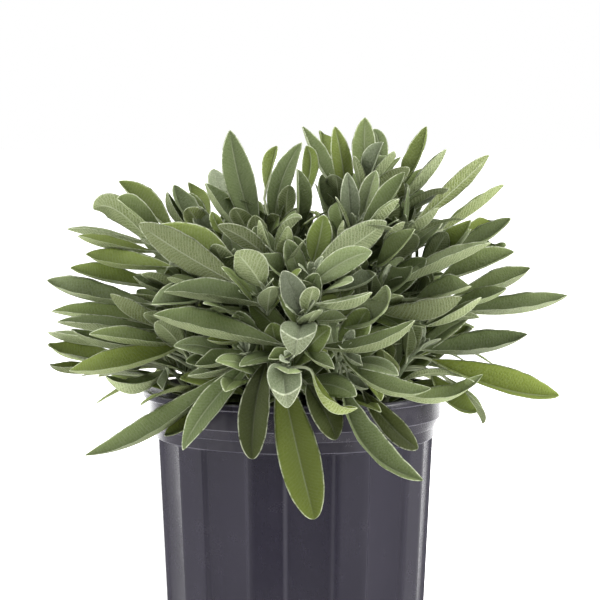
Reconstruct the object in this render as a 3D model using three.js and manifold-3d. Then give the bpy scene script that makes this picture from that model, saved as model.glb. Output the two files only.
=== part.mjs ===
// A common sage in a ribbed nursery pot: the pot, the potting soil and thirty-nine leafy shoots.
// Millimetres, +Z up. The origin is the middle of the pot's underside, and the front is -Y.
import * as THREE from "three";
import { mergeVertices } from "three/addons/utils/BufferGeometryUtils.js";
import Module from "manifold-3d";

const wasm = await Module();
wasm.setup();

// Pot: a trade-gallon nursery pot, about six and a half inches across its lip.
const POT_HEIGHT = 170;
const LIP_RADIUS = 84.6;
const LIP_THICKNESS = 4;
const MOUTH_RADIUS = 80.6;
const UPPER_BAND = { bottom: 155, radius: 81.2 };
const LOWER_BAND = { bottom: 149.5, bottomRadius: 78, topRadius: 80.2 };
const COLLAR = { bottom: 143.5, radius: 77.5 };
const BODY_TOP_RADIUS = 77;
const BODY_BASE_RADIUS = 70.2;
const FOOT = { radius: 68, height: 3 };
const FLUTE_DEPTH = 2;
const FLOOR_THICKNESS = 2;
const WALL = 1.6;
const WALL_BEND = 147;
const RIBS = 10;
const FIRST_RIB_DEG = 24;
const RIB_HALF_DEG = 6.8;
const RIB_EDGE_DEG = 2.6;

// Soil: it fills the pot to a little under the lip, and is mounded round the stems.
const SOIL_GAP = 0.3;
const SOIL_EDGE_HEIGHT = 147;
const SOIL_MOUND = 2;
const SOIL_ROUGHNESS = 0.7;
const SOIL_WAVES = { round: 2.3, back: 3.7, inward: 0.6 };
const SOIL_SIDES = 24;
const SOIL_RINGS = [0.75, 0.35];

// Stems are square in section, as in all of the mint family. Each is straight in the soil, and bends
// from just over it.
const STEM_START = SOIL_EDGE_HEIGHT + 4;
const STEM_DEPTH = 20;
const STEM_FOOT_RADIUS = 2.4;
const STEM_TIP_RADIUS = 1.3;
const STEM_STATIONS = [0, 0.35, 0.7, 1];
const STEM_UPRIGHT = 0.3;
const STEM_BEND = { across: 0.5, rise: 0.72 };
const HOLE_GAP = 0.45;
const HOLE_RISE = 4;

// Leaves: an oblong blade, creased along its midrib, on a slim stalk that is slimmer at its root. A flat
// leaf has a plain upper side, and a keel under it.
const STALK_HALF_WIDTH = 0.9;
const STALK_HALF_THICKNESS = 0.7;
const ROOT_SHARE = 0.5;
const ROOT_STEPS = { first: 5, last: 98, whole: 100 };
const ROOT_DROP = 0.45;
const LOWEST_ROOT = 0.04;
const BLADE_HALF_THICKNESS = 0.65;
const BLADE_SKEW = 1.05;
const BLADE_ROUNDNESS = 0.68;
const USUAL_FOLD = 0.28;
const DEEP_FOLD = 0.9;
const FLAT_FOLD = 0.08;
const FLAT_TOP_SHARE = 0.6;
const LONG_LEAF = 62;
const LONG_STATIONS = [0.18, 0.5, 0.83];
const SHORT_STATIONS = [0.26, 0.76];

// A leaf keeps this gap to other shoots, and its blade is clear of its own shoot's from this share on.
const LEAF_GAP = 0.4;
const CLEAR_FROM = 0.3;

// The eye that the front leaves were sized from: how far it is from the pot's axis, and how high over the
// level that their heights are counted from, which is just under the lip.
const EYE_ACROSS = 2.8;
const EYE_AWAY = 1280;
const EYE_UP = 154;
const LEVEL = 167.5;
const UP_SCALE = 0.981;

// A point read from the front: millimetres to the right of the pot's axis, above the level, and nearer the
// eye. What is above the level stands a little lower than it was read.
function seen([across, up, toward]) {
  const share = toward / EYE_AWAY;
  const height = up > 0 ? UP_SCALE * up : up;
  return new THREE.Vector3(
    across + (EYE_ACROSS - across) * share,
    -toward,
    LEVEL + height + (EYE_UP - height) * share,
  );
}

const EYE = new THREE.Vector3(EYE_ACROSS, -EYE_AWAY, LEVEL + EYE_UP);

// Turns, in degrees, at which a leaf shows both of its halves: how many more degrees it is turned, how far
// its keel lies under the reading, as a share of its width, and how much wider it is than what is seen.
const DEEP_TURNS = [
  { from: 30, to: 65, more: 20, drop: 0.3, widen: 1.32 },
  { from: 120, to: 146, more: -48, drop: 0.34, widen: 1.25 },
];

// Shoots with leaves placed one by one. tip is the stem's end, as seen() takes it, and foot is where it
// leaves the soil: across and toward. A leaf is its tip, middle and heel, its width, how far its upper side
// is turned up and away from the eye in degrees, and how far its edges rise from the midrib.
const FRONT_SHOOTS = {
  shoot_front_centre: {
    tip: [3, 44, 80],
    foot: [3, 37],
    leaves: [
      [[-7, 69, 90], [0, 56, 88], [4, 44, 82], 14, 10],
      [[10, 60, 90], [8, 53, 86], [6, 45, 82], 11, 150],
      [[0, 21, 104], [2, 34, 97], [3, 38, 82], 19, 5, 0.5],
      [[43, 57, 88], [30, 52, 88], [13, 50, 82], 11, 130],
      [[29, 42, 84], [21, 43, 82], [11, 42, 78], 9, 35],
      [[67, 41, 98], [45, 29, 96], [14, 26, 84], 13, 50, 0.4],
      [[-79, 44, 82], [-50, 38, 86], [-8, 27, 82], 17, 45, 0.4],
      [[22, 13, 98], [14, 19, 94], [7, 23, 86], 9, 30],
      [[-15, 19, 96], [-9, 22, 92], [-2, 24, 86], 8, 30],
    ],
  },
  shoot_front_low: {
    tip: [-3, 18, 90],
    foot: [-5, 50],
    leaves: [
      [[-4, -9, 112], [-6, 7, 109], [-5, 14, 94], 18, 10, 0.45],
      [[-24, -38, 108], [-22, -8, 104], [-16, 17, 88], 16, 12, 0.4],
      [[11, -72, 110], [0, -30, 106], [-8, 12, 97], 22, 6, 0.15],
      [[23, -27, 102], [17, -12, 102], [7, 4, 90], 16, 15],
      [[35, -9, 108], [22, -7, 106], [10, 10, 92], 11, 130],
    ],
  },
  shoot_front_left: {
    tip: [-17, 58, 70],
    foot: [-12, 35],
    leaves: [
      [[-33, 80, 78], [-25, 70, 78], [-18, 60, 72], 19, 160],
      [[-87, 96, 42], [-61, 78, 54], [-29, 60, 62], 20, 150],
      [[-73, 57, 66], [-45, 57, 70], [-18, 50, 70], 16, 45, 0.4],
      [[-71, 65, 50], [-61, 64, 52], [-44, 58, 54], 10, 60],
      [[-49, 30, 74], [-38, 31, 74], [-24, 32, 70], 10, 40],
    ],
  },
  shoot_low_left: {
    tip: [-27, 22, 76],
    foot: [-20, 45],
    leaves: [
      [[-118, -36, 62], [-80, -20, 78], [-39, 10, 76], 15, 40],
      [[-73, -24, 76], [-59, -15, 80], [-42, 0, 74], 12, 35],
      [[-63, -33, 90], [-47, -8, 92], [-24, 17, 82], 15, 25],
      [[-56, 15, 82], [-43, 19, 80], [-28, 23, 76], 12, 45],
      [[-60, 9, 74], [-47, 12, 74], [-34, 15, 72], 9, 50],
    ],
  },
  shoot_low_right: {
    tip: [27, 24, 82],
    foot: [16, 46],
    leaves: [
      [[72, -50, 98], [43, -29, 102], [26, 6, 90], 14, 30],
      [[69, -32, 84], [56, -20, 88], [38, 0, 80], 13, 25],
      [[76, 2, 92], [52, 4, 94], [26, 21, 84], 14, 42, 0.4],
      [[105, 10, 62], [76, -2, 76], [42, 10, 72], 13, 45, 0.4],
      [[41, 2, 88], [35, 5, 86], [29, 11, 82], 8, 40],
      [[38, 15, 94], [33, 19, 91], [28, 23, 86], 8, 40],
    ],
  },
  shoot_front_right: {
    tip: [9, 66, 62],
    foot: [8, 25],
    leaves: [
      [[16, 101, 54], [14, 87, 54], [10, 74, 56], 14, 8],
      [[51, 97, 60], [31, 84, 62], [9, 67, 62], 18, 152],
      [[43, 80, 76], [26, 73, 74], [8, 60, 68], 15, 25],
      [[45, 68, 66], [37, 65, 66], [24, 58, 62], 11, 40],
      [[50, 61, 78], [45, 49, 78], [26, 38, 70], 17, 32],
    ],
  },
  shoot_centre: {
    tip: [-9, 76, 46],
    foot: [-5, 18],
    leaves: [
      [[4, 99, 50], [-6, 95, 48], [-11, 78, 46], 11, 140],
      [[-20, 98, 50], [-17, 88, 49], [-13, 78, 46], 9, 65],
      [[-43, 95, 56], [-28, 87, 55], [-14, 76, 50], 12, 155],
      [[-2, 89, 38], [0, 78, 40], [-2, 66, 42], 14, 15],
      [[-18, 79, 60], [-11, 74, 58], [-5, 66, 52], 11, 30],
    ],
  },
  shoot_crown_left: {
    tip: [-23, 88, 18],
    foot: [-13, 8],
    leaves: [
      [[-36, 149, 10], [-31, 119, 16], [-20, 86, 20], 17, 12],
      [[-50, 119, 16], [-39, 105, 18], [-27, 91, 20], 14, 40],
      [[-46, 103, 30], [-43, 94, 30], [-34, 82, 26], 8, 25],
      [[-45, 127, -4], [-43, 117, 0], [-36, 100, 6], 11, 10],
    ],
  },
  shoot_crown: {
    tip: [-6, 98, 2],
    foot: [-3, -1],
    leaves: [
      [[4, 142, 4], [-7, 118, 8], [-11, 92, 8], 14, 25],
      [[6, 140, -12], [8, 128, -10], [3, 106, -4], 10, 20],
      [[-10, 140, -22], [-14, 131, -18], [-16, 116, -10], 8, 30],
      [[1, 127, 22], [5, 111, 22], [2, 94, 16], 11, 35],
    ],
  },
  shoot_crown_right: {
    tip: [28, 108, -14],
    foot: [8, -3],
    leaves: [
      [[4, 151, -28], [14, 133, -22], [24, 113, -16], 11, 35],
      [[15, 148, -42], [18, 141, -38], [22, 122, -26], 10, 30],
      [[22, 151, -8], [26, 131, -6], [29, 108, -8], 12, 20],
      [[15, 124, 2], [18, 114, 0], [24, 100, -6], 13, 30],
    ],
  },
  shoot_top_right: {
    tip: [40, 114, 4],
    foot: [20, 3],
    leaves: [
      [[39, 156, -8], [38, 138, -4], [39, 118, 0], 14, 12],
      [[43, 149, -26], [47, 140, -22], [47, 120, -10], 11, 25],
      [[49, 142, 12], [42, 133, 12], [40, 117, 8], 11, 35],
      [[56, 134, 22], [47, 130, 20], [41, 115, 12], 13, 125],
    ],
  },
  shoot_upper_right: {
    tip: [33, 92, 34],
    foot: [16, 14],
    leaves: [
      [[29, 125, 32], [30, 108, 34], [32, 92, 34], 11, 12, 0.45],
      [[45, 126, 28], [42, 113, 30], [37, 97, 32], 11, 15, 0.45],
      [[61, 125, 30], [50, 111, 34], [37, 92, 36], 12, 35],
      [[58, 110, 44], [47, 102, 44], [36, 90, 40], 11, 130],
      [[27, 98, 46], [27, 89, 44], [28, 80, 38], 10, 60],
    ],
  },
  shoot_right_high: {
    tip: [58, 108, 2],
    foot: [29, -2],
    leaves: [
      [[73, 151, -8], [65, 133, -4], [57, 115, 0], 11, 35],
      [[84, 138, 2], [72, 126, 4], [61, 111, 4], 13, 140],
      [[66, 106, 8], [64, 100, 8], [60, 90, 6], 8, 40],
    ],
  },
  shoot_right_upper: {
    tip: [62, 90, 22],
    foot: [28, 9],
    leaves: [
      [[108, 135, -2], [91, 119, 8], [66, 96, 18], 12, 150],
      [[80, 105, 38], [70, 98, 36], [62, 91, 28], 11, 135],
      [[61, 97, 46], [54, 91, 42], [54, 82, 32], 12, 140],
      [[67, 93, 54], [55, 83, 52], [46, 72, 40], 13, 32],
    ],
  },
  shoot_right_outer: {
    tip: [80, 80, 10],
    foot: [40, 2],
    leaves: [
      [[116, 118, 0], [99, 108, 6], [82, 93, 10], 13, 135],
      [[98, 98, 24], [88, 88, 24], [78, 78, 18], 13, 30],
      [[98, 93, 36], [93, 86, 34], [84, 76, 24], 8, 75],
      [[111, 98, -18], [104, 95, -14], [88, 86, 0], 10, 40],
      [[120, 99, 6], [104, 89, 10], [86, 80, 12], 12, 40],
      [[113, 85, -14], [108, 82, -10], [92, 74, 0], 11, 30],
    ],
  },
  shoot_right_mid: {
    tip: [50, 60, 50],
    foot: [26, 26],
    leaves: [
      [[109, 85, 38], [82, 76, 46], [56, 62, 48], 14, 125],
      [[65, 72, 62], [58, 66, 60], [48, 57, 54], 13, 30],
      [[98, 60, 54], [86, 60, 54], [68, 53, 48], 13, 35],
      [[93, 54, 68], [73, 48, 66], [48, 46, 56], 17, 145],
    ],
  },
  shoot_right_side: {
    tip: [80, 50, 26],
    foot: [42, 16],
    leaves: [
      [[122, 80, 20], [102, 74, 26], [80, 63, 28], 13, 35],
      [[131, 71, 4], [114, 63, 12], [88, 54, 20], 14, 45],
      [[152, 55, 10], [124, 50, 18], [86, 47, 22], 15, 45],
      [[118, 59, 34], [104, 55, 34], [84, 48, 30], 11, 45],
      [[104, 54, 48], [90, 46, 46], [74, 38, 38], 10, 125],
    ],
  },
  shoot_right_low: {
    tip: [68, 24, 34],
    foot: [46, 30],
    leaves: [
      [[96, 38, 8], [90, 36, 12], [78, 31, 22], 11, 30],
      [[130, 33, 24], [104, 27, 30], [72, 24, 34], 15, 38],
      [[148, -2, 30], [118, 6, 36], [76, 18, 36], 16, 30, 0.4],
      [[102, -11, 38], [89, -3, 38], [76, 10, 34], 14, 35],
      [[105, -18, 22], [101, -6, 24], [84, 8, 28], 8, 60],
    ],
  },
  shoot_left_high: {
    tip: [-50, 88, 8],
    foot: [-25, 1],
    leaves: [
      [[-71, 114, 6], [-67, 103, 8], [-57, 91, 10], 9, 55],
      [[-67, 118, 0], [-60, 105, 4], [-51, 91, 8], 12, 30, 0.4],
      [[-58, 119, -20], [-54, 110, -14], [-48, 96, -4], 11, 35],
      [[-54, 106, 20], [-52, 98, 19], [-49, 89, 14], 10, 10],
    ],
  },
  shoot_left_upper: {
    tip: [-70, 82, 2],
    foot: [-37, 3],
    leaves: [
      [[-98, 120, -20], [-83, 109, -14], [-68, 92, -4], 13, 35],
      [[-112, 104, 4], [-98, 104, 6], [-77, 82, 6], 16, 150],
      [[-99, 110, -4], [-87, 104, -2], [-73, 88, 2], 12, 40],
      [[-127, 93, -2], [-108, 91, 0], [-82, 85, 2], 9, 65],
      [[-121, 89, 10], [-104, 86, 12], [-80, 80, 10], 11, 50],
    ],
  },
  shoot_left_outer: {
    tip: [-64, 64, 26],
    foot: [-34, 10],
    leaves: [
      [[-116, 79, 16], [-98, 76, 22], [-69, 71, 26], 14, 45, 0.4],
      [[-125, 71, 8], [-105, 67, 16], [-76, 60, 20], 13, 42],
      [[-90, 66, 34], [-79, 62, 34], [-66, 58, 30], 12, 40],
      [[-80, 50, 56], [-67, 55, 54], [-56, 52, 44], 14, 30],
    ],
  },
  shoot_left_mid: {
    tip: [-36, 72, 42],
    foot: [-20, 22],
    leaves: [[[-81, 93, 30], [-57, 87, 38], [-36, 77, 42], 16, 38]],
  },
  shoot_left_side: {
    tip: [-68, 42, 28],
    foot: [-40, 18],
    leaves: [
      [[-138, 64, 6], [-116, 58, 14], [-80, 50, 24], 14, 42],
      [[-103, 56, 44], [-88, 47, 42], [-66, 36, 36], 14, 145],
      [[-136, 46, 14], [-110, 46, 22], [-74, 40, 26], 13, 42],
      [[-133, 40, 28], [-107, 39, 32], [-72, 35, 32], 12, 50],
    ],
  },
  shoot_left_low: {
    tip: [-64, 26, 36],
    foot: [-44, 32],
    leaves: [
      [[-138, 34, -6], [-122, 31, 4], [-90, 26, 18], 10, 55],
      [[-125, 36, 12], [-106, 29, 18], [-78, 24, 26], 10, 55],
      [[-115, 33, 40], [-92, 32, 42], [-66, 27, 38], 12, 45],
      [[-126, 12, 46], [-99, 18, 50], [-62, 27, 42], 17, 38, 0.4],
    ],
  },
  shoot_left_lowest: {
    tip: [-72, 16, 14],
    foot: [-52, 14],
    leaves: [
      [[-137, 28, -2], [-122, 23, 4], [-88, 18, 12], 14, 40],
      [[-137, 16, 12], [-122, 14, 14], [-86, 15, 14], 10, 60],
      [[-106, 9, 34], [-91, 5, 32], [-73, 12, 20], 16, 130],
      [[-74, 1, 42], [-73, 7, 36], [-72, 13, 24], 7, 30],
    ],
  },
};

// Rings of shoots at the back: height above the lip, distance from the axis, and bearings from the right.
const BACK_RINGS = [
  { label: "high", up: 84, radius: 34, bearings: [40, 100, 150] },
  { label: "middle", up: 58, radius: 64, bearings: [24, 58, 92, 126, 158] },
  { label: "low", up: 22, radius: 72, bearings: [6, 38, 70, 104, 138, 172] },
];
const BACK_FOOT_SHARE = 0.5;
const BEARING_SPREAD = 5;
const HEIGHT_SPREAD = 0.12;

// Pairs of leaves that follow the rule: place along the stem, length and width.
const BACK_PAIRS = [
  { at: 0.97, length: 27, width: 9 },
  { at: 0.88, length: 44, width: 13 },
  { at: 0.76, length: 58, width: 15 },
  { at: 0.62, length: 64, width: 16 },
];
const INNER_PAIRS = [
  { at: 0.8, length: 40, width: 13 },
  { at: 0.6, length: 50, width: 15 },
  { at: 0.4, length: 46, width: 15 },
];
const PAIR_TURN = Math.PI / 2;
const STALK_SHARE = 0.16;
const YOUNG_LEAN_DEG = 58;
const OLD_LEAN_DEG = 22;
const LEAN_SPREAD_DEG = 14;
const PLACE_SPREAD = 0.03;
const ANGLE_SPREAD_DEG = 26;
const SIZE_SPREAD = 0.24;
const INWARD_LENGTH = 0.62;
const DROOP = 0.2;
const BOW = 0.1;
const SEED = 20110;
const DICE = { times: 1664525, plus: 1013904223, span: 4294967296 };

// The foliage of the rule stays in this dome: half-sizes, and the height of its middle above the lip.
const DOME = { across: 132, deep: 132, high: 100, middle: 22 };

// Ways to bend a leaf clear of another: placed leaves by how far the tip moves toward the eye and up,
// the others by degrees round the stem and up from it.
const PLACED_BENDS = [
  [0, 0], [6, 0], [-6, 0], [0, 3], [12, 0], [-12, 0], [0, -3], [6, 4], [-6, 4], [18, 0], [-18, 0],
  [12, 5], [-12, 5], [12, -5], [-12, -5], [24, 0], [-24, 0], [20, 6], [-20, 6], [30, 0], [-30, 0],
  [0, 8], [0, -8], [14, 10], [-14, 10], [14, -10], [-14, -10], [0, 14], [0, -14], [26, 12], [-26, 12],
];
const RULE_BENDS = [
  [0, 0], [12, 0], [-12, 0], [0, 12], [0, -12], [22, 6], [-22, 6], [0, 24], [0, -24], [22, -12],
  [-22, -12], [36, 0], [-36, 0], [36, 16], [-36, 16], [50, 0], [-50, 0], [12, 34], [-12, 34],
];
const MIDDLE_SHARE = 0.6;
const HEEL_SHARE = 0.15;

// Draws from 0 to 1 that are the same on every run.
function makeDice(seed) {
  let state = seed;
  return () => {
    state = (DICE.times * state + DICE.plus) % DICE.span;
    return state / DICE.span;
  };
}

// A closed skin over rings of points. A single point is a pole. The strips are split alternately, so that
// the upper and under faces of a blade are split alike.
function loft(rings) {
  const points = rings.flat();
  const faces = [];
  let start = 0;
  for (let i = 0; i + 1 < rings.length; i++) {
    const [here, next] = [rings[i].length, rings[i + 1].length];
    const sides = Math.max(here, next);
    const after = start + here;
    for (let k = 0; k < sides; k++) {
      const m = (k + 1) % sides;
      if (here === 1) faces.push([start, after + k, after + m]);
      else if (next === 1) faces.push([start + k, after, start + m]);
      else if (k % 2 === 0) {
        faces.push([start + k, after + k, after + m], [start + k, after + m, start + m]);
      } else faces.push([start + k, after + k, start + m], [start + m, after + k, after + m]);
    }
    start = after;
  }
  const last = rings[rings.length - 1];
  for (let k = 1; k + 1 < rings[0].length; k++) faces.push([0, k, k + 1]);
  for (let k = 1; k + 1 < last.length; k++) faces.push([start, start + k + 1, start + k]);
  const geometry = new THREE.BufferGeometry().setFromPoints(points);
  geometry.setIndex(faces.flat());
  return geometry;
}

function signedVolume(position, index) {
  let six = 0;
  const [a, b, c] = [new THREE.Vector3(), new THREE.Vector3(), new THREE.Vector3()];
  for (let i = 0; i < index.length; i += 3) {
    a.fromArray(position, index[i] * 3);
    b.fromArray(position, index[i + 1] * 3);
    c.fromArray(position, index[i + 2] * 3);
    six += a.dot(b.cross(c));
  }
  return six / 6;
}

// A geometry as a solid whose faces point out.
function toSolid(geometry) {
  const merged = mergeVertices(geometry, 1e-3);
  const vertProperties = new Float32Array(merged.attributes.position.array);
  const triVerts = new Uint32Array(merged.index.array);
  if (signedVolume(vertProperties, triVerts) < 0) triVerts.reverse();
  return new wasm.Manifold(new wasm.Mesh({ numProp: 3, vertProperties, triVerts }));
}

function toGeometry(solid) {
  const mesh = solid.getMesh();
  const geometry = new THREE.BufferGeometry();
  geometry.setAttribute("position", new THREE.BufferAttribute(mesh.vertProperties, 3));
  geometry.setIndex(new THREE.BufferAttribute(mesh.triVerts, 1));
  geometry.computeVertexNormals();
  return geometry;
}

// A point of a ring at a bearing from the front, positive to the right.
function onRing(radius, degrees, height) {
  const angle = THREE.MathUtils.degToRad(degrees);
  return new THREE.Vector3(radius * Math.sin(angle), -radius * Math.cos(angle), height);
}

// Bearings of the pot's corners: two on each raised rib and three in the flute beside it.
function ribCorners() {
  const period = 360 / RIBS;
  const fluteStart = RIB_HALF_DEG + RIB_EDGE_DEG;
  const places = [-RIB_HALF_DEG, RIB_HALF_DEG, fluteStart, period / 2, period - fluteStart];
  const corners = [];
  for (let rib = 0; rib < RIBS; rib++) {
    places.forEach((place, i) => {
      corners.push({ bearing: FIRST_RIB_DEG + rib * period + place, inFlute: i > 1 });
    });
  }
  return corners;
}

function makePot() {
  const corners = ribCorners();
  const ring = (radius, height, flute = 0) =>
    corners.map((c) => onRing(radius - (c.inFlute ? flute : 0), c.bearing, height));
  const lipBottom = POT_HEIGHT - LIP_THICKNESS;
  return toSolid(
    loft([
      [new THREE.Vector3(0, 0, 0)],
      ring(FOOT.radius, 0),
      ring(BODY_BASE_RADIUS, FOOT.height, FLUTE_DEPTH),
      ring(BODY_TOP_RADIUS, COLLAR.bottom, FLUTE_DEPTH),
      ring(COLLAR.radius, COLLAR.bottom),
      ring(COLLAR.radius, LOWER_BAND.bottom),
      ring(LOWER_BAND.bottomRadius, LOWER_BAND.bottom),
      ring(LOWER_BAND.topRadius, UPPER_BAND.bottom),
      ring(UPPER_BAND.radius, UPPER_BAND.bottom),
      ring(UPPER_BAND.radius, lipBottom),
      ring(LIP_RADIUS, lipBottom),
      ring(LIP_RADIUS, POT_HEIGHT),
      ring(MOUTH_RADIUS, POT_HEIGHT),
      ring(wallInside(WALL_BEND), WALL_BEND),
      ring(wallInside(FLOOR_THICKNESS), FLOOR_THICKNESS),
      [new THREE.Vector3(0, 0, FLOOR_THICKNESS)],
    ]),
  );
}

// The inner radius of the pot's wall, behind the flutes.
function wallInside(height) {
  const rise = (height - FOOT.height) / (COLLAR.bottom - FOOT.height);
  return THREE.MathUtils.lerp(BODY_BASE_RADIUS, BODY_TOP_RADIUS, rise) - FLUTE_DEPTH - WALL;
}

// The radius that is clear inside the wall: to the middle of its widest flat faces, behind the ribs.
function clearInside(height) {
  return wallInside(height) * Math.cos(THREE.MathUtils.degToRad(RIB_HALF_DEG));
}

function makeSoil() {
  const edge = clearInside(SOIL_EDGE_HEIGHT) - SOIL_GAP;
  const bottom = FLOOR_THICKNESS + SOIL_GAP;
  const ring = (radius, height, rough) =>
    Array.from({ length: SOIL_SIDES }, (_, k) => {
      const one = Math.sin(k * SOIL_WAVES.round + radius);
      const other = Math.cos(k * SOIL_WAVES.back - radius * SOIL_WAVES.inward);
      return onRing(radius, (360 * k) / SOIL_SIDES, height + rough * (one + other));
    });
  const mound = SOIL_RINGS.map((share) =>
    ring(edge * share, SOIL_EDGE_HEIGHT + SOIL_MOUND * (1 - share * share), SOIL_ROUGHNESS),
  );
  return toSolid(
    loft([
      [new THREE.Vector3(0, 0, bottom)],
      ring(clearInside(bottom) - SOIL_GAP, bottom, 0),
      ring(edge, SOIL_EDGE_HEIGHT, 0),
      ...mound,
      [new THREE.Vector3(0, 0, SOIL_EDGE_HEIGHT + SOIL_MOUND)],
    ]),
  );
}

// A stem's centre line over the soil: straight up at first, then leaning out to its tip.
function stemCurve(foot, tip) {
  const start = new THREE.Vector3(foot.x, foot.y, STEM_START);
  const rise = tip.z - STEM_START;
  const above = start.clone().setZ(STEM_START + STEM_UPRIGHT * rise);
  const bend = start.clone().lerp(tip, STEM_BEND.across).setZ(STEM_START + STEM_BEND.rise * rise);
  return new THREE.CubicBezierCurve3(start, above, bend, tip);
}

function squareRing(curve, at, radius) {
  const ahead = curve.getTangent(at);
  const side = new THREE.Vector3(1, 0, 0).addScaledVector(ahead, -ahead.x).normalize();
  const other = new THREE.Vector3().crossVectors(ahead, side);
  const centre = curve.getPoint(at);
  return [0, 1, 2, 3].map((k) =>
    centre
      .clone()
      .addScaledVector(side, radius * Math.cos((k * Math.PI) / 2))
      .addScaledVector(other, radius * Math.sin((k * Math.PI) / 2)),
  );
}

function stemRadius(at) {
  return THREE.MathUtils.lerp(STEM_FOOT_RADIUS, STEM_TIP_RADIUS, at);
}

// A stem's rings, from its end in the soil to its tip.
function stemRings(curve) {
  const rings = STEM_STATIONS.map((at) => squareRing(curve, at, stemRadius(at)));
  const end = rings[0].map((p) => p.clone().setZ(p.z - STEM_DEPTH));
  return [end, ...rings];
}

// The plain square hole that a stem stands in, a little wider and deeper than the stem.
function makeHole(curve) {
  const mouth = squareRing(curve, 0, STEM_FOOT_RADIUS + HOLE_GAP);
  const bottom = mouth.map((p) => p.clone().setZ(p.z - STEM_DEPTH - HOLE_GAP));
  const top = mouth.map((p) => p.clone().setZ(p.z + HOLE_RISE));
  return toSolid(loft([bottom, top]));
}

// Where a leaf's stalk leaves the stem: under the nearest point, so that the stalk rises to the heel.
function rootOn(curve, heel) {
  let best = { at: 1, distance: Infinity };
  for (let step = ROOT_STEPS.first; step <= ROOT_STEPS.last; step++) {
    const at = step / ROOT_STEPS.whole;
    const distance = curve.getPoint(at).distanceTo(heel);
    if (distance < best.distance) best = { at, distance };
  }
  const length = curve.getPoint(0).distanceTo(curve.getPoint(1));
  const lower = best.at - (ROOT_DROP * best.distance) / length;
  return curve.getPoint(Math.max(LOWEST_ROOT, lower));
}

// The share of a blade's half width at a place along it, from heel to tip.
function outline(at) {
  return Math.sin(Math.PI * at ** BLADE_SKEW) ** BLADE_ROUNDNESS;
}

// The rings of a leaf from a place on its blade to its tip. grow makes it fatter all round.
function leafRings(leaf, grow, from) {
  const pull = leaf.middle.clone().multiplyScalar(2);
  pull.addScaledVector(leaf.heel, -0.5).addScaledVector(leaf.tip, -0.5);
  const spine = new THREE.QuadraticBezierCurve3(leaf.heel, pull, leaf.tip);
  const long = !leaf.flat && leaf.heel.distanceTo(leaf.tip) > LONG_LEAF;
  const ring = (centre, ahead, halfWidth, halfThickness, fold) => {
    const up = leaf.normal.clone().addScaledVector(ahead, -leaf.normal.dot(ahead)).normalize();
    const side = new THREE.Vector3().crossVectors(ahead, up);
    const lift = fold * halfWidth;
    const corner = (across, height) =>
      centre.clone().addScaledVector(side, across).addScaledVector(up, height);
    if (leaf.flat) {
      const top = lift + FLAT_TOP_SHARE * halfThickness + grow;
      return [
        corner(-halfWidth - grow, top),
        corner(halfWidth + grow, top),
        corner(0, -halfThickness - grow),
      ];
    }
    return [
      corner(-halfWidth - grow, lift),
      corner(0, halfThickness + grow),
      corner(halfWidth + grow, lift),
      corner(0, -halfThickness - grow),
    ];
  };
  const bladeRing = (at) => {
    const halfWidth = (leaf.width / 2) * outline(at);
    return ring(spine.getPoint(at), spine.getTangent(at), halfWidth, BLADE_HALF_THICKNESS, leaf.fold);
  };
  const rings = [];
  if (from === 0) {
    const stalk = new THREE.Vector3().subVectors(leaf.heel, leaf.root).normalize();
    const start = leaf.root.clone().addScaledVector(stalk, grow > 0 ? STEM_FOOT_RADIUS : 0);
    const ahead = stalk.add(spine.getTangent(0)).normalize();
    const stalkRing = (centre, share) =>
      ring(centre, ahead, share * STALK_HALF_WIDTH, share * STALK_HALF_THICKNESS, 0);
    rings.push(stalkRing(start, ROOT_SHARE), stalkRing(leaf.heel, 1));
  } else {
    rings.push(bladeRing(from));
  }
  const stations = long ? LONG_STATIONS : SHORT_STATIONS;
  rings.push(...stations.filter((at) => at > from).map(bladeRing));
  rings.push([leaf.tip.clone().addScaledVector(spine.getTangent(1), grow)]);
  return rings;
}

function makeLeaf(leaf, grow = 0, from = 0) {
  return toSolid(loft(leafRings(leaf, grow, from)));
}

// What a leaf's turn makes of its fold. One that shows both of its halves is a deep V, whose keel lies
// along the lower side of what is seen.
function foldFor(turn, fold) {
  const way = DEEP_TURNS.find(({ from, to }) => turn >= from && turn <= to);
  if (!way) return { turn, fold, drop: 0, widen: 1 };
  return { turn: turn + way.more, fold: DEEP_FOLD, drop: way.drop, widen: way.widen };
}

// A leaf placed by hand, bent toward the eye and up by the two amounts of bend.
function placedLeaf(row, curve, bend) {
  const [tip, middle, heel, width, readTurn, readFold = USUAL_FOLD] = row;
  const { turn, fold, drop, widen } = foldFor(readTurn, readFold);
  const moved = (point, share) =>
    seen([point[0], point[1] + bend[1] * share, point[2] + bend[0] * share]);
  const leaf = {
    tip: moved(tip, 1),
    middle: moved(middle, MIDDLE_SHARE),
    heel: moved(heel, HEEL_SHARE),
    width: widen * width,
    fold,
  };
  leaf.root = rootOn(curve, leaf.heel);
  const along = new THREE.Vector3().subVectors(leaf.tip, leaf.heel).normalize();
  const toEye = new THREE.Vector3().subVectors(EYE, leaf.middle).normalize();
  const facing = toEye.addScaledVector(along, -toEye.dot(along)).normalize();
  const upward = new THREE.Vector3().crossVectors(along, facing);
  if (upward.z < 0) upward.negate();
  leaf.middle.addScaledVector(upward, -drop * width);
  const angle = THREE.MathUtils.degToRad(turn);
  leaf.normal = facing.multiplyScalar(Math.cos(angle)).addScaledVector(upward, Math.sin(angle));
  return leaf;
}

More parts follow.
